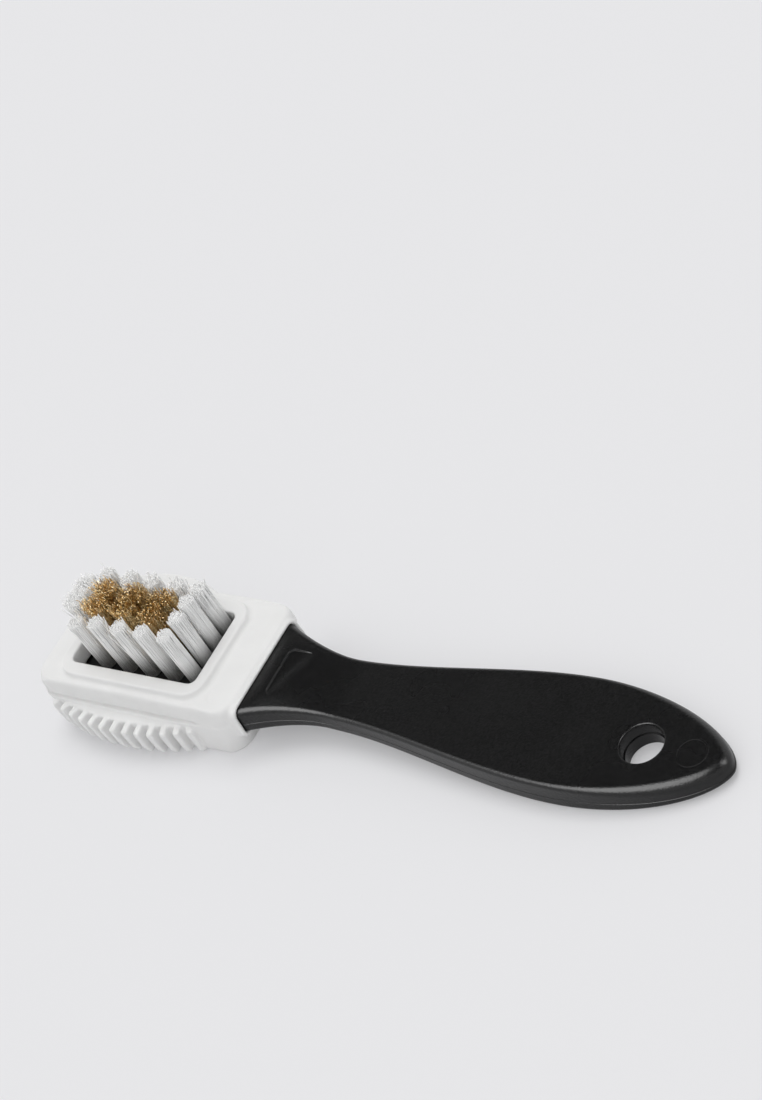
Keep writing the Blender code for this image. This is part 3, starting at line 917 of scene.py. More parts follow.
@dataclass(frozen=True)
class HeadSleeve:
    """The pale rubber sleeve: body, rim, finned half-moon, smooth half-moon and collar, moulded in one.

    Attributes:
        rim_foot_curve: Shares out and up along the hollow between the shoulder and the rim.
        press_marks: Places of the mould's pins on the shoulder.
    """

    head: Head
    corner_steps: int = 10
    side_steps: int = 36
    round_steps: int = 5
    wall_steps: int = 6
    opening_corner: float = 1.6 * MM
    opening_edge: float = 0.35 * MM
    rim_height: float = 1.5 * MM
    rim_foot: float = 0.9 * MM
    rim_foot_curve: tuple[Point, ...] = ((1.0, 0.0), (0.65, 0.04), (0.35, 0.18), (0.15, 0.45), (0.0, 1.0))
    rim_edge: float = 0.45 * MM
    rim_corner: float = 4.7 * MM
    shoulder_side: float = 0.75 * MM
    shoulder_round: float = 1.3 * MM
    shoulder_rear_share: float = 0.7
    shoulder_drop: float = 2.0 * MM
    shoulder_fall_rear: float = 0.7 * MM
    shoulder_fall_front: float = 1.3 * MM
    side_draft: float = 0.7 * MM
    groove_drop: float = 5.9 * MM
    groove_depth: float = 0.3 * MM
    body_corner: float = 4.5 * MM
    far_corner: float = 3.2 * MM
    front_corner: float = 5.3 * MM
    front_rake: float = 0.9 * MM
    front_rake_power: float = 0.6
    underside_wall: float = 2.0 * MM
    underside_round: float = 0.8 * MM
    rear_rake: float = 1.7 * MM
    rear_rake_power: float = 1.45
    ledge_length: float = 40.0 * MM
    ledge_reach: float = 2.0 * MM
    ledge_drop: float = 0.6 * MM
    ledge_centre: float = -3.1 * MM
    ledge_nose: float = 0.5 * MM
    moon_slope: float = 0.6 * MM
    moon_steps: int = 40
    moon_nose_steps: int = 4
    lip_length: float = 32.0 * MM
    lip_reach: float = 3.9 * MM
    lip_centre: float = -7.5 * MM
    lip_nose: float = 0.9 * MM
    lip_top_drop: float = 2.9 * MM
    lip_tuck: float = 1.2 * MM
    lip_underside: float = 1.6 * MM
    fin_count: int = 13
    fin_pitch: float = 3.1 * MM
    fin_thickness: float = 1.45 * MM
    fin_reach: float = 2.6 * MM
    fin_end_reach: float = 1.0 * MM
    fin_fan_radius: float = 38.0 * MM
    fin_fan_offset: float = 3.0 * MM
    fin_top_fall: float = 0.5 * MM
    fin_top_bow: float = 0.35
    fin_tuck: float = 0.8 * MM
    fin_bevel: float = 1.6 * MM
    fin_ground_gap: float = 0.5 * MM
    fin_soft_edge: float = 0.3 * MM
    fin_soft_steps: int = 3
    overlap: float = 1.5 * MM
    collar_width: float = 0.95 * MM
    collar_rise: float = 0.55 * MM
    voxel: float = 0.24 * MM
    soften_share: float = 0.5
    soften_rounds: int = 4
    keep_share: float = 0.7
    sharp_angle: float = 60.0
    groove_line_depth: float = 0.8 * MM
    groove_line_half: float = 0.5 * MM
    groove_line_end: float = 19.5 * MM
    groove_line_fade: float = 4.0 * MM
    groove_line_front: float = 23.9 * MM
    press_marks: tuple[Point, ...] = ((20.4 * MM, 7.9 * MM), (21.6 * MM, -10.0 * MM))
    press_mark_radius: float = 1.5 * MM
    press_mark_depth: float = 0.16 * MM
    press_mark_edge: float = 0.35 * MM
    press_mark_shift: float = 0.5 * MM

    @property
    def shoulder_top(self) -> float:
        """Height of the shoulder at the foot of the rim."""
        return self.head.height - self.rim_height

    @property
    def groove_height(self) -> float:
        """Height of the groove line round the body."""
        return self.head.height - self.groove_drop

    def shoulder(self, z: float) -> Height:
        """A height that falls away from the rim towards both ends of the head.

        Args:
            z: The height beside the rim.

        Returns:
            The height at each place along the head.
        """
        run = self.head.half_length - self.head.rim_half_length

        def height(x: float) -> float:
            fall = self.shoulder_fall_front if x < 0 else self.shoulder_fall_rear
            return z - fall * ease((abs(x) - self.head.rim_half_length) / run)

        return height

    def rear_at(self, z: float) -> float:
        """Where the rear wall stands at a height: it rakes in towards the underside."""
        share = max(1 - z / self.groove_height, 0.0)
        return self.head.half_length - self.rear_rake * share**self.rear_rake_power

    def front_at(self, z: float) -> float:
        """Where the front wall stands at a height: it draws in quickly under the shoulder, then slowly."""
        share = max(1 - z / (self.shoulder_top - self.shoulder_drop), 0.0)
        return self.head.half_length - self.front_rake * share**self.front_rake_power

    def wall_ring(self, z: float, inset: float) -> Ring:
        """A ring of the body's upright wall.

        Args:
            z: Its height.
            inset: How far it is drawn in.

        Returns:
            The ring.
        """
        front = self.front_at(z) - inset
        width = self.head.half_width - inset
        corner = self.body_corner - inset
        return Ring(front, self.rear_at(z) - inset, width, corner, level(z), front_corner=self.front_corner)

    def outer_rings(self) -> list[Ring]:
        """Rings of the outside, from the underside up to the foot of the rim.

        Returns:
            The rings in order.
        """
        length = self.head.half_length
        corners = {"far_rear_corner": self.far_corner, "front_corner": self.front_corner}
        rings = []
        for away, inside in reversed(quarter_round(self.round_steps)):
            rings.append(self.wall_ring(self.underside_round * away, self.underside_round * inside))
        run = self.groove_height - self.groove_depth - self.underside_round
        for i in range(1, self.wall_steps + 1):
            rings.append(self.wall_ring(self.underside_round + run * i / self.wall_steps, 0.0))
        inset = self.groove_depth
        front = self.front_at(self.groove_height) - inset
        width = self.head.half_width - inset
        groove = level(self.groove_height)
        rings.append(Ring(front, length, width, self.body_corner, groove, inset, **corners))
        for away, inside in quarter_round(self.round_steps):
            inset = self.shoulder_round * inside
            ends = (length - inset, length - inset * self.shoulder_rear_share)
            width = self.head.half_width - self.side_draft - self.shoulder_side * inside
            height = self.shoulder(self.shoulder_top - self.shoulder_drop * away)
            rings.append(Ring(*ends, width, self.body_corner, height, self.side_draft, **corners))
        return rings

    def rim_rings(self) -> list[Ring]:
        """Rings of the raised rim, from its foot over its top to the edge of the opening.

        Returns:
            The rings in order.
        """
        length = self.head.rim_half_length
        width = self.head.rim_half_width
        rise = self.rim_height - self.rim_edge
        rings = []
        for out_share, up_share in self.rim_foot_curve:
            out = self.rim_foot * out_share
            z = self.shoulder_top + rise * up_share
            rings.append(Ring.even(length + out, width + out, self.rim_corner + out, z))
        for away, inside in quarter_round(self.round_steps)[1:]:
            inset = self.rim_edge * inside
            z = self.head.height - self.rim_edge * away
            rings.append(Ring.even(length - inset, width - inset, self.rim_corner - inset, z))
        return rings

    def inner_rings(self) -> list[Ring]:
        """Rings of the opening and of the room for the core, from the top down.

        Returns:
            The rings in order.
        """
        length = self.head.opening_half_length
        width = self.head.opening_half_width
        rings = []
        for away, inside in reversed(quarter_round(self.round_steps)):
            out = self.opening_edge * inside
            z = self.head.height - self.opening_edge * away
            rings.append(Ring.even(length + out, width + out, self.opening_corner + out, z))
        head = self.head
        gap = head.fit_gap
        room = (head.core_half_length + gap, head.core_half_width + gap, head.core_corner + gap)
        roof = head.core_top + gap
        rings.append(Ring.even(length, width, self.opening_corner, roof))
        rings.append(Ring.even(*room, roof))
        rings.append(Ring.even(*room, self.underside_wall))
        return rings

    def add_body(self, bm: BMesh) -> None:
        """Adds the closed body with its rim, opening and inner room.

        Args:
            bm: The mesh that takes it.
        """
        rings = self.outer_rings() + self.rim_rings() + self.inner_rings()
        rows = [ring.vertices(bm, self.corner_steps, self.side_steps) for ring in rings]
        bridge_all(bm, rows)
        strip_cap(bm, rows[0])
        strip_cap(bm, rows[-1])

    def moons(self) -> list[Moon]:
        """The half-moons on both sides of the head.

        Returns:
            The ledge that carries the fins, and the smooth lip.
        """
        ledge = Moon(
            length=self.ledge_length,
            centre=self.ledge_centre,
            side=-1,
            reach=self.ledge_reach,
            top=self.groove_height - self.ledge_drop,
            bottom=self.fin_ground_gap + self.underside_round,
            tuck=self.fin_tuck,
            nose=self.ledge_nose,
        )
        lip = Moon(
            length=self.lip_length,
            centre=self.lip_centre,
            side=1,
            reach=self.lip_reach,
            top=self.head.height - self.lip_top_drop,
            bottom=self.lip_underside,
            tuck=self.lip_tuck,
            nose=self.lip_nose,
        )
        return [ledge, lip]

    def moon_section(self, moon: Moon, along: float) -> list[Point]:
        """A half-moon's section across the head.

        Args:
            moon: The half-moon.
            along: Distance from its middle.

        Returns:
            Points (out, z) round the section.
        """
        wall = self.head.half_width - self.side_draft
        inner = wall - self.overlap / 2
        out = wall + (moon.reach + self.side_draft) * (1 - min(abs(along) / (moon.length / 2), 1) ** 2)
        foot = max(out - moon.tuck, inner + self.overlap / 4)
        radius = min(moon.nose, (foot - inner) / 2)
        edge = moon.top - self.moon_slope
        curve = reversed(quarter_round(self.moon_nose_steps))
        section = [(inner, moon.top), (out - radius * 2, edge + self.moon_slope / 3)]
        section += [(out - radius * inside, edge - radius * away) for away, inside in curve]
        section += [(foot, moon.bottom + radius), (foot - radius / 2, moon.bottom), (inner, moon.bottom)]
        return section

    def add_moon(self, bm: BMesh, moon: Moon) -> None:
        """Adds a half-moon slab.

        Args:
            bm: The mesh that takes it.
            moon: Its sizes.
        """
        rows = []
        for i in range(self.moon_steps + 1):
            along = moon.length * (i / self.moon_steps - 0.5)
            section = self.moon_section(moon, along)
            rows.append([bm.verts.new((moon.centre + along, moon.side * y, z)) for y, z in section])
        bridge_all(bm, rows)
        bm.faces.new(rows[0])
        bm.faces.new(rows[-1])

    def add_collar(self, bm: BMesh) -> None:
        """Adds the low collar round the root of the handle.

        Args:
            bm: The mesh that takes it.
        """
        inner = self.head.root_section(self.head.root_gap)
        outer = self.head.root_section(self.head.root_gap + self.collar_width)
        crest = [((a + c) / 2, (b + d) / 2) for (a, b), (c, d) in zip(inner, outer)]
        face = self.head.half_length + self.collar_rise
        back = self.head.half_length - self.overlap
        around = (
            (inner, back),
            (inner, face - self.collar_rise / 2),
            (crest, face),
            (outer, face - self.collar_rise),
            (outer, back),
        )
        rows = [[bm.verts.new((x, y, z)) for y, z in section] for section, x in around]
        bridge_all(bm, rows + rows[:1])

    def fin_blade(self) -> Object:
        """One fin with its root on the origin, standing out towards minus Y, with softly rounded edges.

        Returns:
            The fin, with a live Bevel.
        """
        top = self.groove_height - self.ledge_drop - self.moon_slope
        edge = self.fin_thickness / 4
        corner = top - self.fin_top_fall
        kink = self.fin_ground_gap + self.fin_bevel
        reach = self.fin_reach
        profile = [
            (-self.overlap, top),
            (0.0, top),
            (reach / 2, top - self.fin_top_fall * self.fin_top_bow),
            (reach - edge, corner + edge / 2),
            (reach, corner - edge),
            (reach - self.fin_tuck / 4, kink),
            (reach - self.fin_tuck, self.fin_ground_gap),
            (-self.overlap, self.fin_ground_gap),
        ]
        half = self.fin_thickness / 2
        bm = bmesh.new()
        sides = []
        for x in (-half, half):
            sides.append([bm.verts.new((x, -out, z)) for out, z in profile])
            bm.faces.new(sides[-1])
        bridge(bm, *sides)
        blade = object_of("fin_blade", bm)
        rounding = blade.modifiers.new("soft edges", "BEVEL")
        rounding.width = self.fin_soft_edge
        rounding.segments = self.fin_soft_steps
        rounding.limit_method = "ANGLE"
        return blade

    def fins(self, rubber: Material) -> Object:
        """All fins along the ledge, grown from one blade by Geometry Nodes.

        Args:
            rubber: The sleeve's material.

        Returns:
            The fins as a plain mesh.
        """
        blade = self.fin_blade()
        values = {
            "Count": self.fin_count,
            "Pitch": self.fin_pitch,
            "Centre Offset": self.ledge_centre,
            "Wall": self.head.half_width,
            "Ledge Length": self.ledge_length,
            "Ledge Reach": self.ledge_reach,
            "Fan Radius": self.fin_fan_radius,
            "Fan Offset": self.fin_fan_offset,
            "End Share": self.fin_end_reach / self.fin_reach,
            "Material": rubber,
        }
        FinTree().grow_on(blade, values)
        return bake(blade, "fins")

    def passage(self) -> Object:
        """The slot in the rear wall for the root of the handle.

        Returns:
            The cutter.
        """
        bm = bmesh.new()
        section = self.head.root_section(self.head.root_gap)
        start = self.head.core_half_length - 2 * self.head.fit_gap
        end = self.head.half_length + self.overlap
        first, last = ([bm.verts.new((x, y, z)) for y, z in section] for x in (start, end))
        bridge(bm, first, last)
        bm.faces.new(first)
        bm.faces.new(last)
        return object_of("passage", bm)

    def press_groove_line(self, mesh: Mesh) -> None:
        """Presses the groove line into the side walls and the front wall, but not into the half-moons.

        Args:
            mesh: The sleeve's mesh about the head's middle.
        """
        outer = self.head.half_width + self.groove_depth
        inner = self.head.half_width - self.side_draft
        moves = []
        for vertex in mesh.vertices:
            x, y, z = vertex.co
            off = abs(z - self.groove_height) / self.groove_line_half
            marked = outer > abs(y) > inner or (x < -self.groove_line_front and abs(y) < outer)
            if off < 1 and marked:
                fade = ease((self.groove_line_end - x) / self.groove_line_fade)
                moves.append((vertex.index, vertex.normal * self.groove_line_depth * (1 - off) * fade))
        for index, move in moves:
            mesh.vertices[index].co -= move

    def sink_press_marks(self, mesh: Mesh) -> None:
        """Sinks the crescent marks that the mould's pins leave on the rear of the shoulder.

        Args:
            mesh: The sleeve's mesh about the head's middle.
        """
        floor = self.shoulder_top - self.shoulder_fall_rear - self.shoulder_drop
        shift = Vector((self.press_mark_shift, 0.0))
        for vertex in mesh.vertices:
            if vertex.co.z < floor:
                continue
            for mark in self.press_marks:
                flat = vertex.co.xy - Vector(mark)
                ring = ease((self.press_mark_radius - flat.length) / self.press_mark_edge)
                fill = ease((self.press_mark_radius - (flat - shift).length) / (3 * self.press_mark_edge))
                vertex.co.z -= self.press_mark_depth * ring * (1 - fill)

    def soften(self, rough: Object, passage: Object) -> None:
        """Adds the modifiers that turn the overlapping shapes into one soft skin with a slot.

        Args:
            rough: The overlapping shapes.
            passage: The cutter for the slot.
        """
        skin = rough.modifiers.new("one skin", "REMESH")
        skin.mode = "VOXEL"
        skin.voxel_size = self.voxel
        combine(rough, passage, "DIFFERENCE")
        smooth = rough.modifiers.new("soft edges", "SMOOTH")
        smooth.factor = self.soften_share
        smooth.iterations = self.soften_rounds
        thin = rough.modifiers.new("fewer faces", "DECIMATE")
        thin.ratio = self.keep_share

    def build(self, frame: Frame, rubber: Material) -> None:
        """Moulds all shapes into one soft-edged skin.

        Args:
            frame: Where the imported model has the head.
            rubber: The sleeve's material.
        """
        fins = self.fins(rubber)
        bm = bmesh.new()
        self.add_body(bm)
        for moon in self.moons():
            self.add_moon(bm, moon)
        self.add_collar(bm)
        bmesh.ops.recalc_face_normals(bm, faces=bm.faces)
        bm.from_mesh(fins.data)
        remove(fins)
        rough = object_of("sleeve_shapes", bm)
        passage = self.passage()
        self.soften(rough, passage)
        sleeve = bake(rough, "head_sleeve_skin", self.sharp_angle)
        remove(passage)
        self.press_groove_line(sleeve.data)
        self.sink_press_marks(sleeve.data)
        coat(sleeve, rubber)
        frame.place(sleeve)
        seat(sleeve, "pale_rubber", "head_sleeve")


@dataclass(frozen=True)
class Handle:
    """The black moulding: a flat paddle with a hang hole and a thumb rest, and the core that holds the tufts.

    Attributes:
        seam_shares: How far down the side its rows of points are, without those at the parting line.
        across_runs: Start, end and steps of the runs of points across half of the top face, as shares.
    """

    head: Head
    root_start: float = 21.6 * MM
    neck_width: float = 14.3 * MM
    neck_thickness: float = 4.6 * MM
    neck_reach: float = 18.2 * MM
    paddle_width: float = 25.0 * MM
    paddle_thickness: float = 6.0 * MM
    paddle_reach: float = 54.0 * MM
    tip_thickness: float = 4.1 * MM
    tip_reach: float = 33.2 * MM
    tip_steps: int = 40
    drop: float = 1.9 * MM
    drop_length: float = 21.4 * MM
    flare_power: float = 1.75
    tip_power: float = 0.585
    round_steps: int = 8
    edge_round: float = 1.0 * MM
    crown: float = 0.55 * MM
    crown_power: float = 3.0
    tip_round: float = 2.5 * MM
    seam_ridge: float = 0.06 * MM
    seam_share: float = 0.62
    seam_half: float = 0.02
    seam_shares: tuple[float, ...] = (0.1, 0.25, 0.4, 0.75, 0.9)
    across_runs: tuple[tuple[float, float, int], ...] = ((0.0, 0.5, 8), (0.5, 0.97, 44), (0.97, 1.0, 1))
    hole_diameter: float = 8.6 * MM
    hole_setback: float = 17.75 * MM
    hole_edge: float = 0.3 * MM
    hole_edge_steps: int = 4
    hole_step: float = 0.22 * MM
    hole_sides: int = 96
    rest_reach: float = 4.25 * MM
    rest_length: float = 4.9 * MM
    rest_width: float = 11.4 * MM
    rest_centre: float = -0.35 * MM
    rest_slant: float = 0.42
    rest_splay: float = 0.04
    rest_depth: float = 0.42 * MM
    rest_corner: float = 1.3 * MM
    rest_edge: float = 0.18 * MM
    rest_ramp: float = 4.0 * MM
    rest_blunt: float = 2.4 * MM
    gate_setback: float = 7.3 * MM
    gate_radius: float = 2.95 * MM
    gate_line: float = 0.26 * MM
    gate_line_sides: int = 6
    gate_line_sunk: float = 0.4
    gate_steps: int = 64
    weld: float = 0.001 * MM
    tuft_hole_radius: float = 1.9 * MM
    tuft_hole_chamfer: float = 0.12 * MM
    tuft_hole_bottom: float = 4.0 * MM
    tuft_hole_sides: int = 24
    core_corner_steps: int = 6
    core_side_steps: int = 10

    @property
    def neck_x(self) -> float:
        """Where the neck is narrowest."""
        return self.head.half_length + self.neck_reach

    @property
    def paddle_x(self) -> float:
        """Where the paddle is widest."""
        return self.neck_x + self.paddle_reach

    @property
    def tip_x(self) -> float:
        """Where the handle ends."""
        return self.paddle_x + self.tip_reach

    def top(self, x: float) -> float:
        """Height of the top face, which dips behind the head."""
        return self.head.root_top - self.drop * ease((x - self.head.half_length) / self.drop_length)

    def bottom(self, x: float) -> float:
        """Height of the underside: thick at the root, thin at the neck and full at the paddle.

        Args:
            x: Place along the handle.

        Returns:
            The height.
        """
        root, neck, paddle = self.head.root_thickness, self.neck_thickness, self.paddle_thickness
        thickness = root + (neck - root) * ease((x - self.head.half_length) / self.neck_reach)
        thickness += (paddle - neck) * ease((x - self.neck_x) / self.paddle_reach)
        thickness += (self.tip_thickness - paddle) * (max(x - self.paddle_x, 0) / self.tip_reach) ** 2
        return self.top(x) - thickness

    def half_width(self, x: float) -> float:
        """Half of the handle's width between its root and its widest place.

        Args:
            x: Place along the handle.

        Returns:
            Half of the width.
        """
        root = self.head.root_half_width
        neck = self.neck_width / 2
        if x < self.head.half_length:
            return root
        if x < self.neck_x:
            share = (x - self.head.half_length) / self.neck_reach
            return neck + (root - neck) * (1 - share) ** self.flare_power
        return neck + (self.paddle_width / 2 - neck) * ease((x - self.neck_x) / self.paddle_reach)

    def top_round(self, x: float) -> float:
        """Radius of the top edge: fuller at the root and round the tip than along the middle.

        Args:
            x: Place along the handle.

        Returns:
            The radius.
        """
        middle = self.edge_round
        root = (self.head.root_top_round - middle) * (1 - ease((x - self.head.half_length) / self.neck_reach))
        tip = (self.tip_round - middle) * ease((x - self.paddle_x) / self.tip_reach)
        return middle + root + tip

    def stations(self) -> list[float]:
        """Where the outline has points along the handle, close together at the thumb rest.

        Returns:
            Places from the root to where the paddle is widest, which is left out.
        """
        rest = self.head.half_length + self.rest_reach
        corner_end = rest + 1.5 * self.rest_corner
        fine_end = rest + self.rest_length * (1 + self.rest_slant)
        runs = (
            (self.root_start, self.head.half_length, 4),
            (self.head.half_length, rest - self.rest_edge, 12),
            (rest - self.rest_edge, corner_end, 36),
            (corner_end, fine_end, 34),
            (fine_end, self.neck_x, 16),
            (self.neck_x, self.paddle_x, 40),
        )
        return spread(runs)

    def outline(self, inset: Height) -> list[Point]:
        """The near outline drawn in by an inset, from the root to the tip.

        Args:
            inset: How far it is drawn in at each place along the handle, which may be below 0.

        Returns:
            Points (x, y), of which the last is the tip.
        """
        points = [(x, inset(x) - self.half_width(x)) for x in self.stations()]
        for i in range(self.tip_steps + 1):
            angle = math.pi / 2 * i / self.tip_steps
            drawn_in = inset(self.paddle_x + self.tip_reach * math.sin(angle))
            half = (self.paddle_width / 2 - drawn_in) * max(math.cos(angle), 0.0) ** (2 * self.tip_power)
            points.append((self.paddle_x + (self.tip_reach - drawn_in) * math.sin(angle), -half))
        points[-1] = (points[-1][0], 0.0)
        return points

    def swell(self, x: float, y: float) -> float:
        """How far the top face swells up between the head and the thumb rest.

        Args:
            x: Place along the handle.
            y: Place across it.

        Returns:
            The swell at that point.
        """
        along = x - self.head.half_length
        if along < 0:
            return 0.0
        near = min(along / self.rest_reach, 1.0)
        away = ease((along - self.rest_reach) / self.neck_reach)
        flat = self.half_width(x) - self.top_round(x)
        middle = 1 - min(abs(y) / flat, 1.0) ** self.crown_power
        return self.crown * (1 - (1 - near) ** 2) * (1 - away) * middle

    def rest_sink(self, x: float, y: float) -> float:
        """How deep the thumb rest lies under the top face.

        Args:
            x: Place along the handle.
            y: Place across it.

        Returns:
            The depth at that point.
        """
        along = x - self.head.half_length - self.rest_reach
        off = y - self.rest_centre
        half = self.rest_width / 2
        side = half + self.rest_splay * along - abs(off)
        corner = self.rest_corner
        inside = min(along, side)
        if along < corner and side < corner:
            inside = corner - math.hypot(corner - along, corner - side)
        left = self.rest_length * (1 + self.rest_slant * off / half) - along
        left -= max(self.rest_blunt - side, 0.0) ** 2 / (2 * self.rest_blunt)
        return self.rest_depth * ease(inside / self.rest_edge) * ease(left / self.rest_ramp)

    def top_face(self, x: float, y: float) -> float:
        """Height of the top face at a point, with its swell and the thumb rest."""
        return self.top(x) + self.swell(x, y) - self.rest_sink(x, y)

    def ring(self, bm: BMesh, inset: Height, height: Height) -> list:
        """Adds a ring of vertices round the handle, with one vertex at its tip.

        Args:
            bm: The mesh that takes them.
            inset: How far the outline is drawn in at each place along the handle.
            height: The ring's height at each place along the handle.

        Returns:
            The vertices, from the near side of the root round the tip to its far side.
        """
        near = self.outline(inset)
        far = [(x, -y) for x, y in reversed(near[:-1])]
        return [bm.verts.new((x, y, height(x))) for x, y in near + far]

    def across(self) -> list[float]:
        """Shares across the top face, close together where the thumb rest's sides run.

        Returns:
            Shares of the half width, from near to far.
        """
        half = spread(self.across_runs)
        return [-share for share in reversed(half[1:])] + half

    def add_face(self, bm: BMesh, ring: Sequence, height: Callable[[float, float], float]) -> list:
        """Closes a ring with a grid of rows from side to side.

        Args:
            bm: The mesh that takes the faces.
            ring: The ring's vertices, with the tip in the middle.
            height: Gives the height of the face from x and y.

        Returns:
            The first row of vertices, at the root.
        """
        tip = len(ring) // 2
        last = len(ring) - 1
        rows = []
        for i in range(tip):
            near = ring[i].co
            inner = [(near.x, -near.y * share) for share in self.across()]
            grid = [bm.verts.new((x, y, height(x, y))) for x, y in inner]
            rows.append([ring[i], *grid, ring[last - i]])
        bridge_all(bm, rows, closed=False)
        for first, second in zip(rows[-1], rows[-1][1:]):
            bm.faces.new((first, second, ring[tip]))
        return rows[0]

    def top_edge(self, bm: BMesh, away: float, inside: float) -> list:
        """Adds a ring on the rounded top edge.

        Args:
            bm: The mesh that takes it.
            away: How far it is below the top face, as a share of the edge's radius.
            inside: How far it is in from the side, as a share of the edge's radius.

        Returns:
            The ring's vertices.
        """
        return self.ring(
            bm,
            lambda x: self.top_round(x) * inside,
            lambda x: self.top(x) - self.top_round(x) * away,
        )

    def side_row(self, bm: BMesh, down: float, ridge: float) -> list:
        """Adds a ring on the side between the rounded edges.

        Args:
            bm: The mesh that takes it.
            down: How far down the side it is, as a share.
            ridge: How far it stands out.

        Returns:
            The ring's vertices.
        """

        def height(x: float) -> float:
            low = self.bottom(x) + self.head.root_bottom_round
            return low + (self.top(x) - self.top_round(x) - low) * (1 - down)

        return self.ring(bm, level(-self.head.root_flare * down - ridge), height)

    def bottom_edge(self, bm: BMesh, away: float, inside: float) -> list:
        """Adds a ring on the rounded bottom edge.

        Args:
            bm: The mesh that takes it.
            away: How far it is above the underside, as a share of the edge's radius.
            inside: How far it is in from the side, as a share of the edge's radius.

        Returns:
            The ring's vertices.
        """
        radius = self.head.root_bottom_round
        rise = radius * away
        return self.ring(bm, level(radius * inside - self.head.root_flare), lambda x: self.bottom(x) + rise)

    def plate(self) -> Object:
        """The paddle from its root to its tip, with the mould's faint parting line round its side.

        Returns:
            The paddle.
        """
        seam, half = self.seam_share, self.seam_half
        side = [(share, 0.0) for share in self.seam_shares]
        side += [(seam + half * step, 0.0) for step in (-2, -1, 1, 2)] + [(seam, self.seam_ridge)]
        curve = quarter_round(self.round_steps)
        bm = bmesh.new()
        rings = [self.top_edge(bm, away, inside) for away, inside in reversed(curve)]
        rings += [self.side_row(bm, down, ridge) for down, ridge in sorted(side)]
        rings += [self.bottom_edge(bm, away, inside) for away, inside in curve]
        bridge_all(bm, rings, closed=False)
        top_row = self.add_face(bm, rings[0], self.top_face)
        bottom_row = self.add_face(bm, rings[-1], lambda x, y: self.bottom(x))
        bridge(bm, top_row, bottom_row, closed=False)
        bm.faces.new([ring[0] for ring in rings])
        bm.faces.new([ring[-1] for ring in rings])
        return object_of("plate", bm)

    def hang_hole(self) -> Object:
        """The cutter for the hang hole, with a step halfway and rounded rims.

        Returns:
            The cutter.
        """
        x = self.tip_x - self.hole_setback
        top = self.top(x)
        bottom = self.bottom(x)
        middle = (top + bottom) / 2
        radius = self.hole_diameter / 2
        inner = radius - self.hole_step
        edge = self.hole_edge
        curve = quarter_round(self.hole_edge_steps)
        levels = [(inner + edge, bottom - edge)]
        levels += [(inner + edge * inside, bottom + edge * away) for inside, away in curve]
        levels += [(inner, middle), (radius, middle)]
        levels += [(radius + edge * inside, top - edge * away) for away, inside in curve]
        levels.append((radius + edge, top + edge))
        return turned("hang_hole", levels, (x, 0.0), self.hole_sides)

    def gate_mark(self) -> Object:
        """The faint raised line that the mould's gate leaves near the tip.

        Returns:
            A thin ring, sunk a little into the top face.
        """
        x = self.tip_x - self.gate_setback
        bm = bmesh.new()
        profile = []
        for i in range(self.gate_line_sides):
            angle = 2 * math.pi * i / self.gate_line_sides
            out = self.gate_radius + self.gate_line * math.cos(angle)
            up = self.top(x) + self.gate_line * (math.sin(angle) - self.gate_line_sunk)
            profile.append(bm.verts.new((x + out, 0.0, up)))
        edges = [bm.edges.new((a, b)) for a, b in zip(profile, profile[1:] + profile[:1])]
        bmesh.ops.spin(
            bm,
            geom=profile + edges,
            cent=(x, 0.0, 0.0),
            axis=(0, 0, 1),
            angle=2 * math.pi,
            steps=self.gate_steps,
            use_merge=True,
        )
        bmesh.ops.remove_doubles(bm, verts=bm.verts, dist=self.weld)
        return object_of("gate_mark", bm)

    def core(self) -> Object:
        """The block inside the sleeve.

        Returns:
            The block.
        """
        head = self.head
        edge = head.fit_gap
        length = head.core_half_length
        width = head.core_half_width
        corner = head.core_corner
        rings = (
            Ring.even(length, width, corner, head.core_bottom),
            Ring.even(length, width, corner, head.core_top - edge),
            Ring.even(length - edge, width - edge, corner - edge, head.core_top),
        )
        bm = bmesh.new()
        rows = [ring.vertices(bm, self.core_corner_steps, self.core_side_steps) for ring in rings]
        bridge_all(bm, rows)
        strip_cap(bm, rows[0])
        strip_cap(bm, rows[-1])
        return object_of("core", bm)

    def tuft_holes(self, places: Sequence[Vector]) -> Object:
        """All tuft holes as one cutter, each with a small chamfer at its mouth.

        Args:
            places: Centres of the holes, from the head's middle.

        Returns:
            The cutter.
        """
        bm = bmesh.new()
        top = self.head.core_top
        radius = self.tuft_hole_radius
        lip = self.tuft_hole_chamfer
        mouth = ((radius, top - lip), (radius + lip, top), (radius + lip, top + lip))
        levels = ((radius, self.tuft_hole_bottom), *mouth)
        for place in places:
            hole = turned("hole", levels, (place.x, place.y), self.tuft_hole_sides)
            bm.from_mesh(hole.data)
            remove(hole)
        return object_of("tuft_holes", bm)

    def build(self, frame: Frame, plastic: Material, places: Sequence[Vector]) -> None:
        """Makes the moulding.

        Args:
            frame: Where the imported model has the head.
            plastic: The handle's material.
            places: Centres of the tuft holes, from the head's middle.
        """
        handle = self.plate()
        tools = (
            (self.core(), "UNION"),
            (self.tuft_holes(places), "DIFFERENCE"),
            (self.hang_hole(), "DIFFERENCE"),
            (self.gate_mark(), "UNION"),
        )
        for tool, operation in tools:
            combine(handle, tool, operation)
        made = bake(handle, "handle_moulding")
        for tool, _ in tools:
            remove(tool)
        coat(made, plastic)
        frame.place(made)
        seat(made, "black_plastic", "handle_body")


class Filament(Enum):
    """What a tuft is made of."""

    NYLON = "nylon"
    BRASS = "brass"


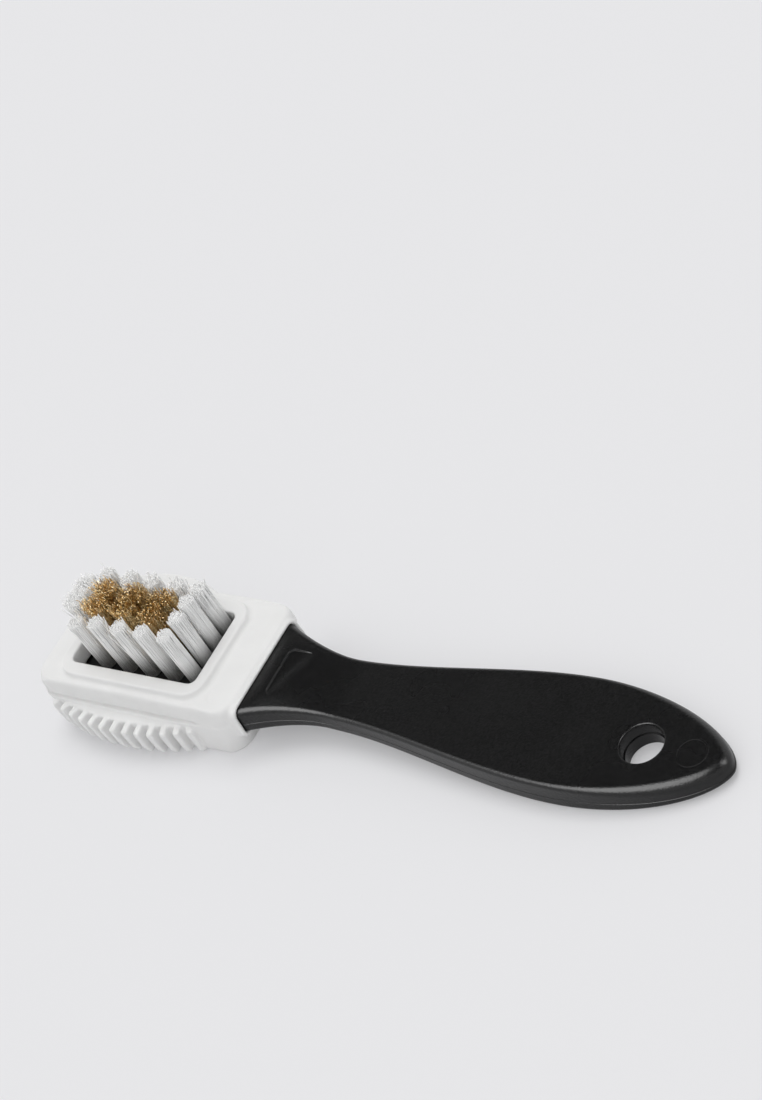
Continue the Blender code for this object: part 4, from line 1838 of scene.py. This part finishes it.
class TuftTree(GeometryTree):
    """Geometry Nodes that grow one tuft: a round bundle of strands, crimped, fanned and frayed."""

    TONE = "tone"
    INPUTS = {
        "Strands": "Int",
        "Bundle Radius": "Float",
        "Foot": "Float",
        "Tip": "Float",
        "Mouth": "Float",
        "Strand Radius": "Float",
        "Fan": "Vector",
        "Lean": "Vector",
        "Crimp": "Float",
        "Crimp Length": "Float",
        "Fray": "Float",
        "Stray": "Float",
        "Trim": "Float",
        "Steps": "Int",
        "Sides": "Int",
        "Seed": "Int",
        "Material": "Material",
    }
    CURL_POWER = 2.5
    STRAY_POWER = 12.0
    CRIMP_ONSET = 6.0

    def __init__(self) -> None:
        """Builds the tree."""
        super().__init__("tuft_strands")
        self.takes("Geometry", "Geometry")
        given = {name: self.takes(name, kind) for name, kind in self.INPUTS.items()}
        self.given = given
        line = self.node("GeometryNodeCurvePrimitiveLine", {"End": (0.0, 0.0, 1.0)})
        fine = self.node("GeometryNodeResampleCurve", {"Curve": line.outputs[0], "Count": given["Steps"]})
        amount = {"Geometry": fine.outputs[0], "Amount": given["Strands"]}
        copies = self.node("GeometryNodeDuplicateElements", amount, domain="SPLINE")
        index = copies.outputs["Duplicate Index"]
        length_chance, tone, stray_chance = self.chance(index, 3, low=0.0)
        spot = self.bend(index, length_chance, stray_chance)
        bent = self.node("GeometryNodeSetPosition", {"Geometry": copies.outputs[0], "Position": spot})
        marked = self.node(
            "GeometryNodeStoreNamedAttribute",
            {"Geometry": bent.outputs[0], "Name": self.TONE, "Value": tone},
            data_type="FLOAT",
            domain="POINT",
        )
        section = {"Resolution": given["Sides"], "Radius": given["Strand Radius"]}
        profile = self.node("GeometryNodeCurvePrimitiveCircle", section)
        tubes = self.node(
            "GeometryNodeCurveToMesh",
            {"Curve": marked.outputs[0], "Profile Curve": profile.outputs[0], "Fill Caps": True},
        )
        self.give_real(tubes.outputs[0], given["Material"])

    def chance(self, index: NodeSocket, offset: int, low: float = -1.0) -> list[NodeSocket]:
        """Three random numbers for each strand.

        Args:
            index: The strand's number.
            offset: Keeps one use apart from another.
            low: The lowest value, where the highest is 1.

        Returns:
            The three numbers.
        """
        inputs = {0: (low, low, low), 1: (1.0, 1.0, 1.0), "ID": index}
        inputs["Seed"] = self.total(self.given["Seed"], float(offset))
        return self.parts(self.node("FunctionNodeRandomValue", inputs, data_type="FLOAT_VECTOR").outputs[0])

    def bend(self, index: NodeSocket, length_chance: NodeSocket, stray_chance: NodeSocket) -> NodeSocket:
        """Works out where each point of a strand stands.

        Args:
            index: The strand's number.
            length_chance: How much of the trim is off the strand.
            stray_chance: How far the strand strays from the bundle.

        Returns:
            The point's place.
        """
        given = self.given
        turn = self.chance(index, 1)
        phase = self.chance(index, 2)
        share = self.maths("DIVIDE", self.total(index, 0.5), given["Strands"])
        out = self.product(self.maths("SQRT", share), given["Bundle Radius"])
        angle = self.total(self.product(index, GOLDEN_ANGLE), given["Seed"])
        full = self.maths("SUBTRACT", given["Tip"], given["Foot"])
        length = self.maths("SUBTRACT", full, self.product(length_chance, given["Trim"]))
        along = self.node("GeometryNodeSplineParameter").outputs["Factor"]
        z = self.total(given["Foot"], self.product(along, length))
        above = self.maths("SUBTRACT", z, given["Mouth"])
        free = self.maths("SUBTRACT", given["Tip"], given["Mouth"])
        rise = self.maths("MAXIMUM", self.maths("DIVIDE", above, free), 0.0)
        curl = self.maths("POWER", rise, self.CURL_POWER)
        rare = self.maths("POWER", stray_chance, self.STRAY_POWER)
        sway = self.total(given["Fray"], self.product(rare, given["Stray"]))
        onset = self.maths("MINIMUM", self.product(rise, self.CRIMP_ONSET), 1.0)
        crimp = self.product(onset, given["Crimp"])
        waves = self.product(self.maths("DIVIDE", z, given["Crimp Length"]), 2 * math.pi)
        fan = self.parts(given["Fan"])
        lean = self.parts(given["Lean"])
        places = []
        for axis, trig in enumerate(("COSINE", "SINE")):
            base = self.product(out, self.maths(trig, angle))
            fanned = self.product(base, self.total(1.0, self.product(rise, fan[axis])))
            leaned = self.product(rise, lean[axis])
            frayed = self.product(curl, sway, turn[axis])
            wave = self.maths("SINE", self.total(waves, self.product(phase[axis], math.pi)))
            places.append(self.total(fanned, leaned, frayed, self.product(wave, crimp)))
        return self.vector(*places, z)


@dataclass(frozen=True)
class TuftStyle:
    """How the strands of one kind of tuft are made."""

    slot: str
    strands: int
    strand_radius: float
    crimp: float
    crimp_length: float
    stray: float
    trim: float
    steps: int
    sides: int


TUFT_STYLES = {
    Filament.NYLON: TuftStyle(
        slot="clear_nylon",
        strands=190,
        strand_radius=0.115 * MM,
        crimp=0.0,
        crimp_length=4 * MM,
        stray=1.8 * MM,
        trim=0.8 * MM,
        steps=12,
        sides=5,
    ),
    Filament.BRASS: TuftStyle(
        slot="crimped_brass",
        strands=170,
        strand_radius=0.07 * MM,
        crimp=0.13 * MM,
        crimp_length=1.3 * MM,
        stray=0.8 * MM,
        trim=1.4 * MM,
        steps=48,
        sides=4,
    ),
}


@dataclass(frozen=True)
class Wear:
    """How use has left one tuft: which way it leans, how far it has opened and how short it is."""

    lean: Point
    fan: Point
    fray: float
    short: float


@dataclass(frozen=True)
class FieldWear:
    """How use has left the whole field: the brass is swept to the front, and the outer rows have opened.

    Attributes:
        outer: Past this share of the field a tuft is in an outer row.
        brass_spread: How much further each brass tuft leans than the one in the middle, in millimetres.
        brass_sweep: How far the middle brass tuft leans to the front, in millimetres.
        front_corner_short: How much shorter the near front tuft is.
    """

    outer: float = 0.9
    brass_spread: float = 3.2
    brass_sweep: float = 1.9
    brass: Wear = Wear(lean=(0.0, -0.1 * MM), fan=(1.2, 0.45), fray=0.45 * MM, short=0.1 * MM)
    front: Wear = Wear(lean=(-3.6 * MM, 0.3 * MM), fan=(0.5, 0.6), fray=0.7 * MM, short=0.9 * MM)
    far: Wear = Wear(lean=(0.1 * MM, -0.2 * MM), fan=(0.15, 0.15), fray=0.3 * MM, short=1.3 * MM)
    near: Wear = Wear(lean=(0.2 * MM, -0.5 * MM), fan=(0.04, 0.04), fray=0.14 * MM, short=0.4 * MM)
    rear: Wear = Wear(lean=(0.4 * MM, -0.3 * MM), fan=(0.04, 0.04), fray=0.14 * MM, short=0.2 * MM)
    front_corner_short: float = 1.5 * MM

    def of(self, kind: Filament, across: float, deep: float) -> Wear:
        """Works out a tuft's wear from its place.

        Args:
            kind: What the tuft is made of.
            across: Its place along the head, from minus 1 at the front to 1 at the rear.
            deep: Its place across the head, from minus 1 on the near side to 1 on the far side.

        Returns:
            The tuft's wear.
        """
        if kind is Filament.BRASS:
            swept = (self.brass_spread * across - self.brass_sweep) * MM
            return replace(self.brass, lean=(swept, self.brass.lean[1]))
        at_front = across < -self.outer
        if at_front and abs(deep) < self.outer:
            return self.front
        if deep > self.outer:
            return self.far
        if deep < -self.outer:
            return replace(self.near, short=self.front_corner_short) if at_front else self.near
        return self.rear


@dataclass(frozen=True)
class TuftField:
    """The tufts, each in the hole where the frame has its anchor.

    Attributes:
        nodes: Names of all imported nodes.
    """

    frame: Frame
    nodes: Sequence[str]
    wear: FieldWear = FieldWear()
    bundle_radius: float = 1.62 * MM
    foot: float = 5.8 * MM
    mouth: float = 10.0 * MM
    sharp_angle: float = 80.0

    def centres(self) -> list[Vector]:
        """Centres of the tuft holes in the frame, in the anchors' order."""
        return [middle_of(name) for name in sorted(self.nodes) if name.startswith("tuft_anchor_")]

    def plan(self) -> list[tuple[str, Vector]]:
        """Finds the hole that each tuft stands in.

        Returns:
            Each tuft's node with the centre of its hole.
        """
        centres = self.centres()
        plan = []
        for name in sorted(name for name in self.nodes if "_tuft_" in name):
            middle = middle_of(name)
            plan.append((name, min(centres, key=lambda centre: (centre - middle).length)))
        return plan

    def values(self, style: TuftStyle, wear: Wear, seed: int, finish: Material) -> dict[str, object]:
        """Inputs of the tree for one tuft.

        Args:
            style: How its strands are made.
            wear: How use has left it.
            seed: Keeps its strands apart from those of the other tufts.
            finish: Its material.

        Returns:
            Values by the inputs' names.
        """
        return {
            "Strands": style.strands,
            "Bundle Radius": self.bundle_radius,
            "Foot": self.foot,
            "Tip": self.frame.tuft_top - wear.short - style.strand_radius,
            "Mouth": self.mouth,
            "Strand Radius": style.strand_radius,
            "Fan": (*wear.fan, 0.0),
            "Lean": (*wear.lean, 0.0),
            "Crimp": style.crimp,
            "Crimp Length": style.crimp_length,
            "Fray": wear.fray,
            "Stray": style.stray,
            "Trim": style.trim,
            "Steps": style.steps,
            "Sides": style.sides,
            "Seed": seed,
            "Material": finish,
        }

    def build(self, finishes: dict[str, Material]) -> None:
        """Grows every tuft.

        Args:
            finishes: Materials by slot.
        """
        tree = TuftTree()
        plan = self.plan()
        middle = sum((centre for _, centre in plan), Vector((0.0, 0.0))) / len(plan)
        reach = [max(abs(centre[axis] - middle[axis]) for _, centre in plan) for axis in (0, 1)]
        for number, (name, centre) in enumerate(plan):
            kind = Filament(name.partition("_")[0])
            style = TUFT_STYLES[kind]
            wear = self.wear.of(kind, *((centre[axis] - middle[axis]) / reach[axis] for axis in (0, 1)))
            carrier = object_of(f"{name}_seed", bmesh.new())
            tree.grow_on(carrier, self.values(style, wear, number, finishes[style.slot]))
            tuft = bake(carrier, f"{name}_strands", self.sharp_angle)
            tuft.data.transform(Matrix.Translation((centre.x, centre.y, 0.0)))
            seat(tuft, style.slot, name)


@dataclass(frozen=True)
class SoftBox:
    """A bright or dark patch of the surround that only gloss mirrors.

    Attributes:
        source: The direction that it lies in.
        radius: How wide it looks from its middle to its edge, in degrees.
        strength: How much brighter it is than what is round it.
    """

    source: Place
    radius: float
    strength: float


@dataclass(frozen=True)
class Studio:
    """A pale floor, soft lights and the camera at the photograph's angle.

    Attributes:
        camera_place: The camera's place from the head's middle.
        camera_right: The direction that runs to the right in the picture.
        camera_up: The direction that runs up in the picture.
        floor_glow: Share of even light that the floor shows to the camera and to gloss.
    """

    camera_place: Place = (355.46 * MM, -203.57 * MM, 349.43 * MM)
    camera_right: Place = (0.7845, 0.4625, -0.4131)
    camera_up: Place = (-0.1141, 0.7624, 0.6370)
    camera_lens: float = 85.0
    camera_clip: float = 10 * MM
    floor_colour: Colour = (0.79, 0.79, 0.805)
    floor_roughness: float = 0.95
    floor_size: float = 4.0
    floor_glow: float = 0.3
    key_strength: float = 1.0
    key_from: Place = (-0.16, 0.36, 1.0)
    key_angle: float = 34.0
    fill_strength: float = 0.34
    fill_from: Place = (0.5, -0.7, 0.75)
    fill_angle: float = 60.0
    world_strength: float = 0.645
    horizon_strength: float = 0.95
    ceiling_strength: float = 0.065
    ceiling_radius: float = 61.0
    near_box: SoftBox = SoftBox(source=(-0.15, -0.57, 0.80), radius=29.0, strength=7.6)
    tip_box: SoftBox = SoftBox(source=(0.70, 0.32, 0.64), radius=16.0, strength=7.0)
    box_softness: float = 9.0

    def floor(self, heel: Vector, belly: Vector) -> None:
        """Lays the floor under the head's heel and the belly of the handle.

        Args:
            heel: Lowest line of the head, as a point.
            belly: The point under the handle that also touches the floor.
        """
        bm = bmesh.new()
        bmesh.ops.create_grid(bm, x_segments=1, y_segments=1, size=self.floor_size / 2)
        floor = object_of("floor", bm)
        slope = math.atan2(belly.z - heel.z, belly.x - heel.x)
        floor.data.transform(Matrix.Translation(heel) @ Matrix.Rotation(-slope, 4, "Y"))
        if floor.data.polygons[0].normal.z < 0:
            floor.data.flip_normals()
        shader = Shader("floor_finish")
        colour = (*self.floor_colour, 1.0)
        shader.set(Base_Color=colour, Roughness=self.floor_roughness, Specular_IOR_Level=0.0)
        path = shader.node("ShaderNodeLightPath").outputs
        seen = shader.maths("MAXIMUM", path["Is Camera Ray"], path["Is Glossy Ray"])
        glow = shader.node("ShaderNodeEmission", {"Color": colour, "Strength": 1.0})
        share = shader.product(seen, self.floor_glow)
        plain = shader.principled.outputs[0]
        mix = shader.node("ShaderNodeMixShader", {0: share, 1: plain, 2: glow.outputs[0]})
        shader.feed(shader.tree.nodes["Material Output"].inputs["Surface"], mix.outputs[0])
        coat(floor, shader.material)

    def sun(self, name: str, strength: float, source: Place, angle: float) -> None:
        """Adds a far light, which gloss doesn't mirror.

        Args:
            name: The light's name.
            strength: Its strength.
            source: The direction that it comes from.
            angle: How wide it looks, in degrees.
        """
        light = bpy.data.lights.new(name, "SUN")
        light.energy = strength
        light.angle = math.radians(angle)
        lamp = bpy.data.objects.new(name, light)
        lamp.rotation_euler = Vector(source).to_track_quat("Z", "Y").to_euler()
        lamp.visible_glossy = False
        bpy.context.scene.collection.objects.link(lamp)

    @staticmethod
    def soft_disc() -> NodeTree:
        """A soft-edged disc in the sky.

        Returns:
            A group that gives 1 inside the disc and 0 outside it.
        """
        tree = Tree("soft_disc", "ShaderNodeTree")
        centre = tree.takes("Centre", "Vector")
        radius = tree.takes("Radius")
        soft = tree.takes("Softness")
        place = tree.node("ShaderNodeTexCoord").outputs["Generated"]
        towards = tree.node("ShaderNodeVectorMath", {0: place, 1: centre}, operation="DOT_PRODUCT")
        angle = tree.maths("DEGREES", tree.maths("ARCCOSINE", towards.outputs["Value"]))
        start = tree.maths("SUBTRACT", radius, soft)
        tree.gives("Mask", tree.ramp(angle, start, tree.total(radius, soft), (1.0, 0.0)))
        return tree.tree

    def world(self) -> None:
        """Lights matte surfaces evenly, and gives gloss two soft boxes, a dark ceiling and a pale horizon."""
        world = bpy.data.worlds.new("surround")
        world.use_nodes = True
        sky = Nodes(world.node_tree)
        disc = self.soft_disc()
        ceiling = SoftBox((0.0, 0.0, 1.0), self.ceiling_radius, self.ceiling_strength - self.horizon_strength)
        mirrored: float | NodeSocket = self.horizon_strength
        for box in (ceiling, self.near_box, self.tip_box):
            centre = Vector(box.source).normalized()
            mask = sky.group(disc, {"Centre": centre, "Radius": box.radius, "Softness": self.box_softness})
            mirrored = sky.maths("MULTIPLY_ADD", mask.outputs["Mask"], box.strength, mirrored)
        gloss = sky.node("ShaderNodeLightPath").outputs["Is Glossy Ray"]
        mix = sky.node("ShaderNodeMix", {"Factor": gloss, "A": self.world_strength, "B": mirrored})
        background = sky.tree.nodes["Background"]
        sky.feed(background.inputs["Color"], (1.0, 1.0, 1.0, 1.0))
        sky.feed(background.inputs["Strength"], mix.outputs["Result"])
        bpy.context.scene.world = world

    def camera(self, middle: Vector) -> None:
        """Sets the camera at the photograph's angle.

        Args:
            middle: The head's middle.
        """
        data = bpy.data.cameras.new("photo_camera")
        data.lens = self.camera_lens
        data.clip_start = self.camera_clip
        camera = bpy.data.objects.new("photo_camera", data)
        right = Vector(self.camera_right)
        up = Vector(self.camera_up)
        turn = Matrix((right, up, right.cross(up))).transposed().to_4x4()
        camera.matrix_world = Matrix.Translation(middle + Vector(self.camera_place)) @ turn
        bpy.context.scene.collection.objects.link(camera)
        bpy.context.scene.camera = camera

    def build(self, heel: Vector, belly: Vector, middle: Vector) -> None:
        """Sets the whole scene round the brush.

        Args:
            heel: Lowest line of the head, as a point.
            belly: The point under the handle that also touches the floor.
            middle: The head's middle.
        """
        self.floor(heel, belly)
        self.sun("key_light", self.key_strength, self.key_from, self.key_angle)
        self.sun("fill_light", self.fill_strength, self.fill_from, self.fill_angle)
        self.world()
        self.camera(middle)
        bpy.context.scene.view_settings.view_transform = "Standard"


def main() -> None:
    """Builds the brush and its studio, and reports each piece."""
    logging.basicConfig(level=logging.INFO, format="%(name)s %(message)s")
    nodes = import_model()["nodes"]
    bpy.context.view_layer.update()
    groups = SurfaceGroups()
    finishes = {slot: finish.build(groups) for slot, finish in FINISHES.items()}
    head = Head()
    frame = Frame.read(head.half_length)
    field = TuftField(frame, list(nodes))
    places = [centre - frame.middle.xy for centre in field.centres()]
    handle = Handle(head)
    handle.build(frame, finishes["black_plastic"], places)
    HeadSleeve(head).build(frame, finishes["pale_rubber"])
    field.build(finishes)
    for name, node in nodes.items():
        if name.startswith("tuft_anchor_"):
            coat(node, finishes["anchor_metal"])
    heel = frame.middle + Vector((head.heel_reach, 0.0, 0.0))
    belly = frame.middle + Vector((handle.paddle_x, 0.0, handle.bottom(handle.paddle_x)))
    Studio().build(heel, belly, frame.middle)


if __name__ == "__main__":
    main()
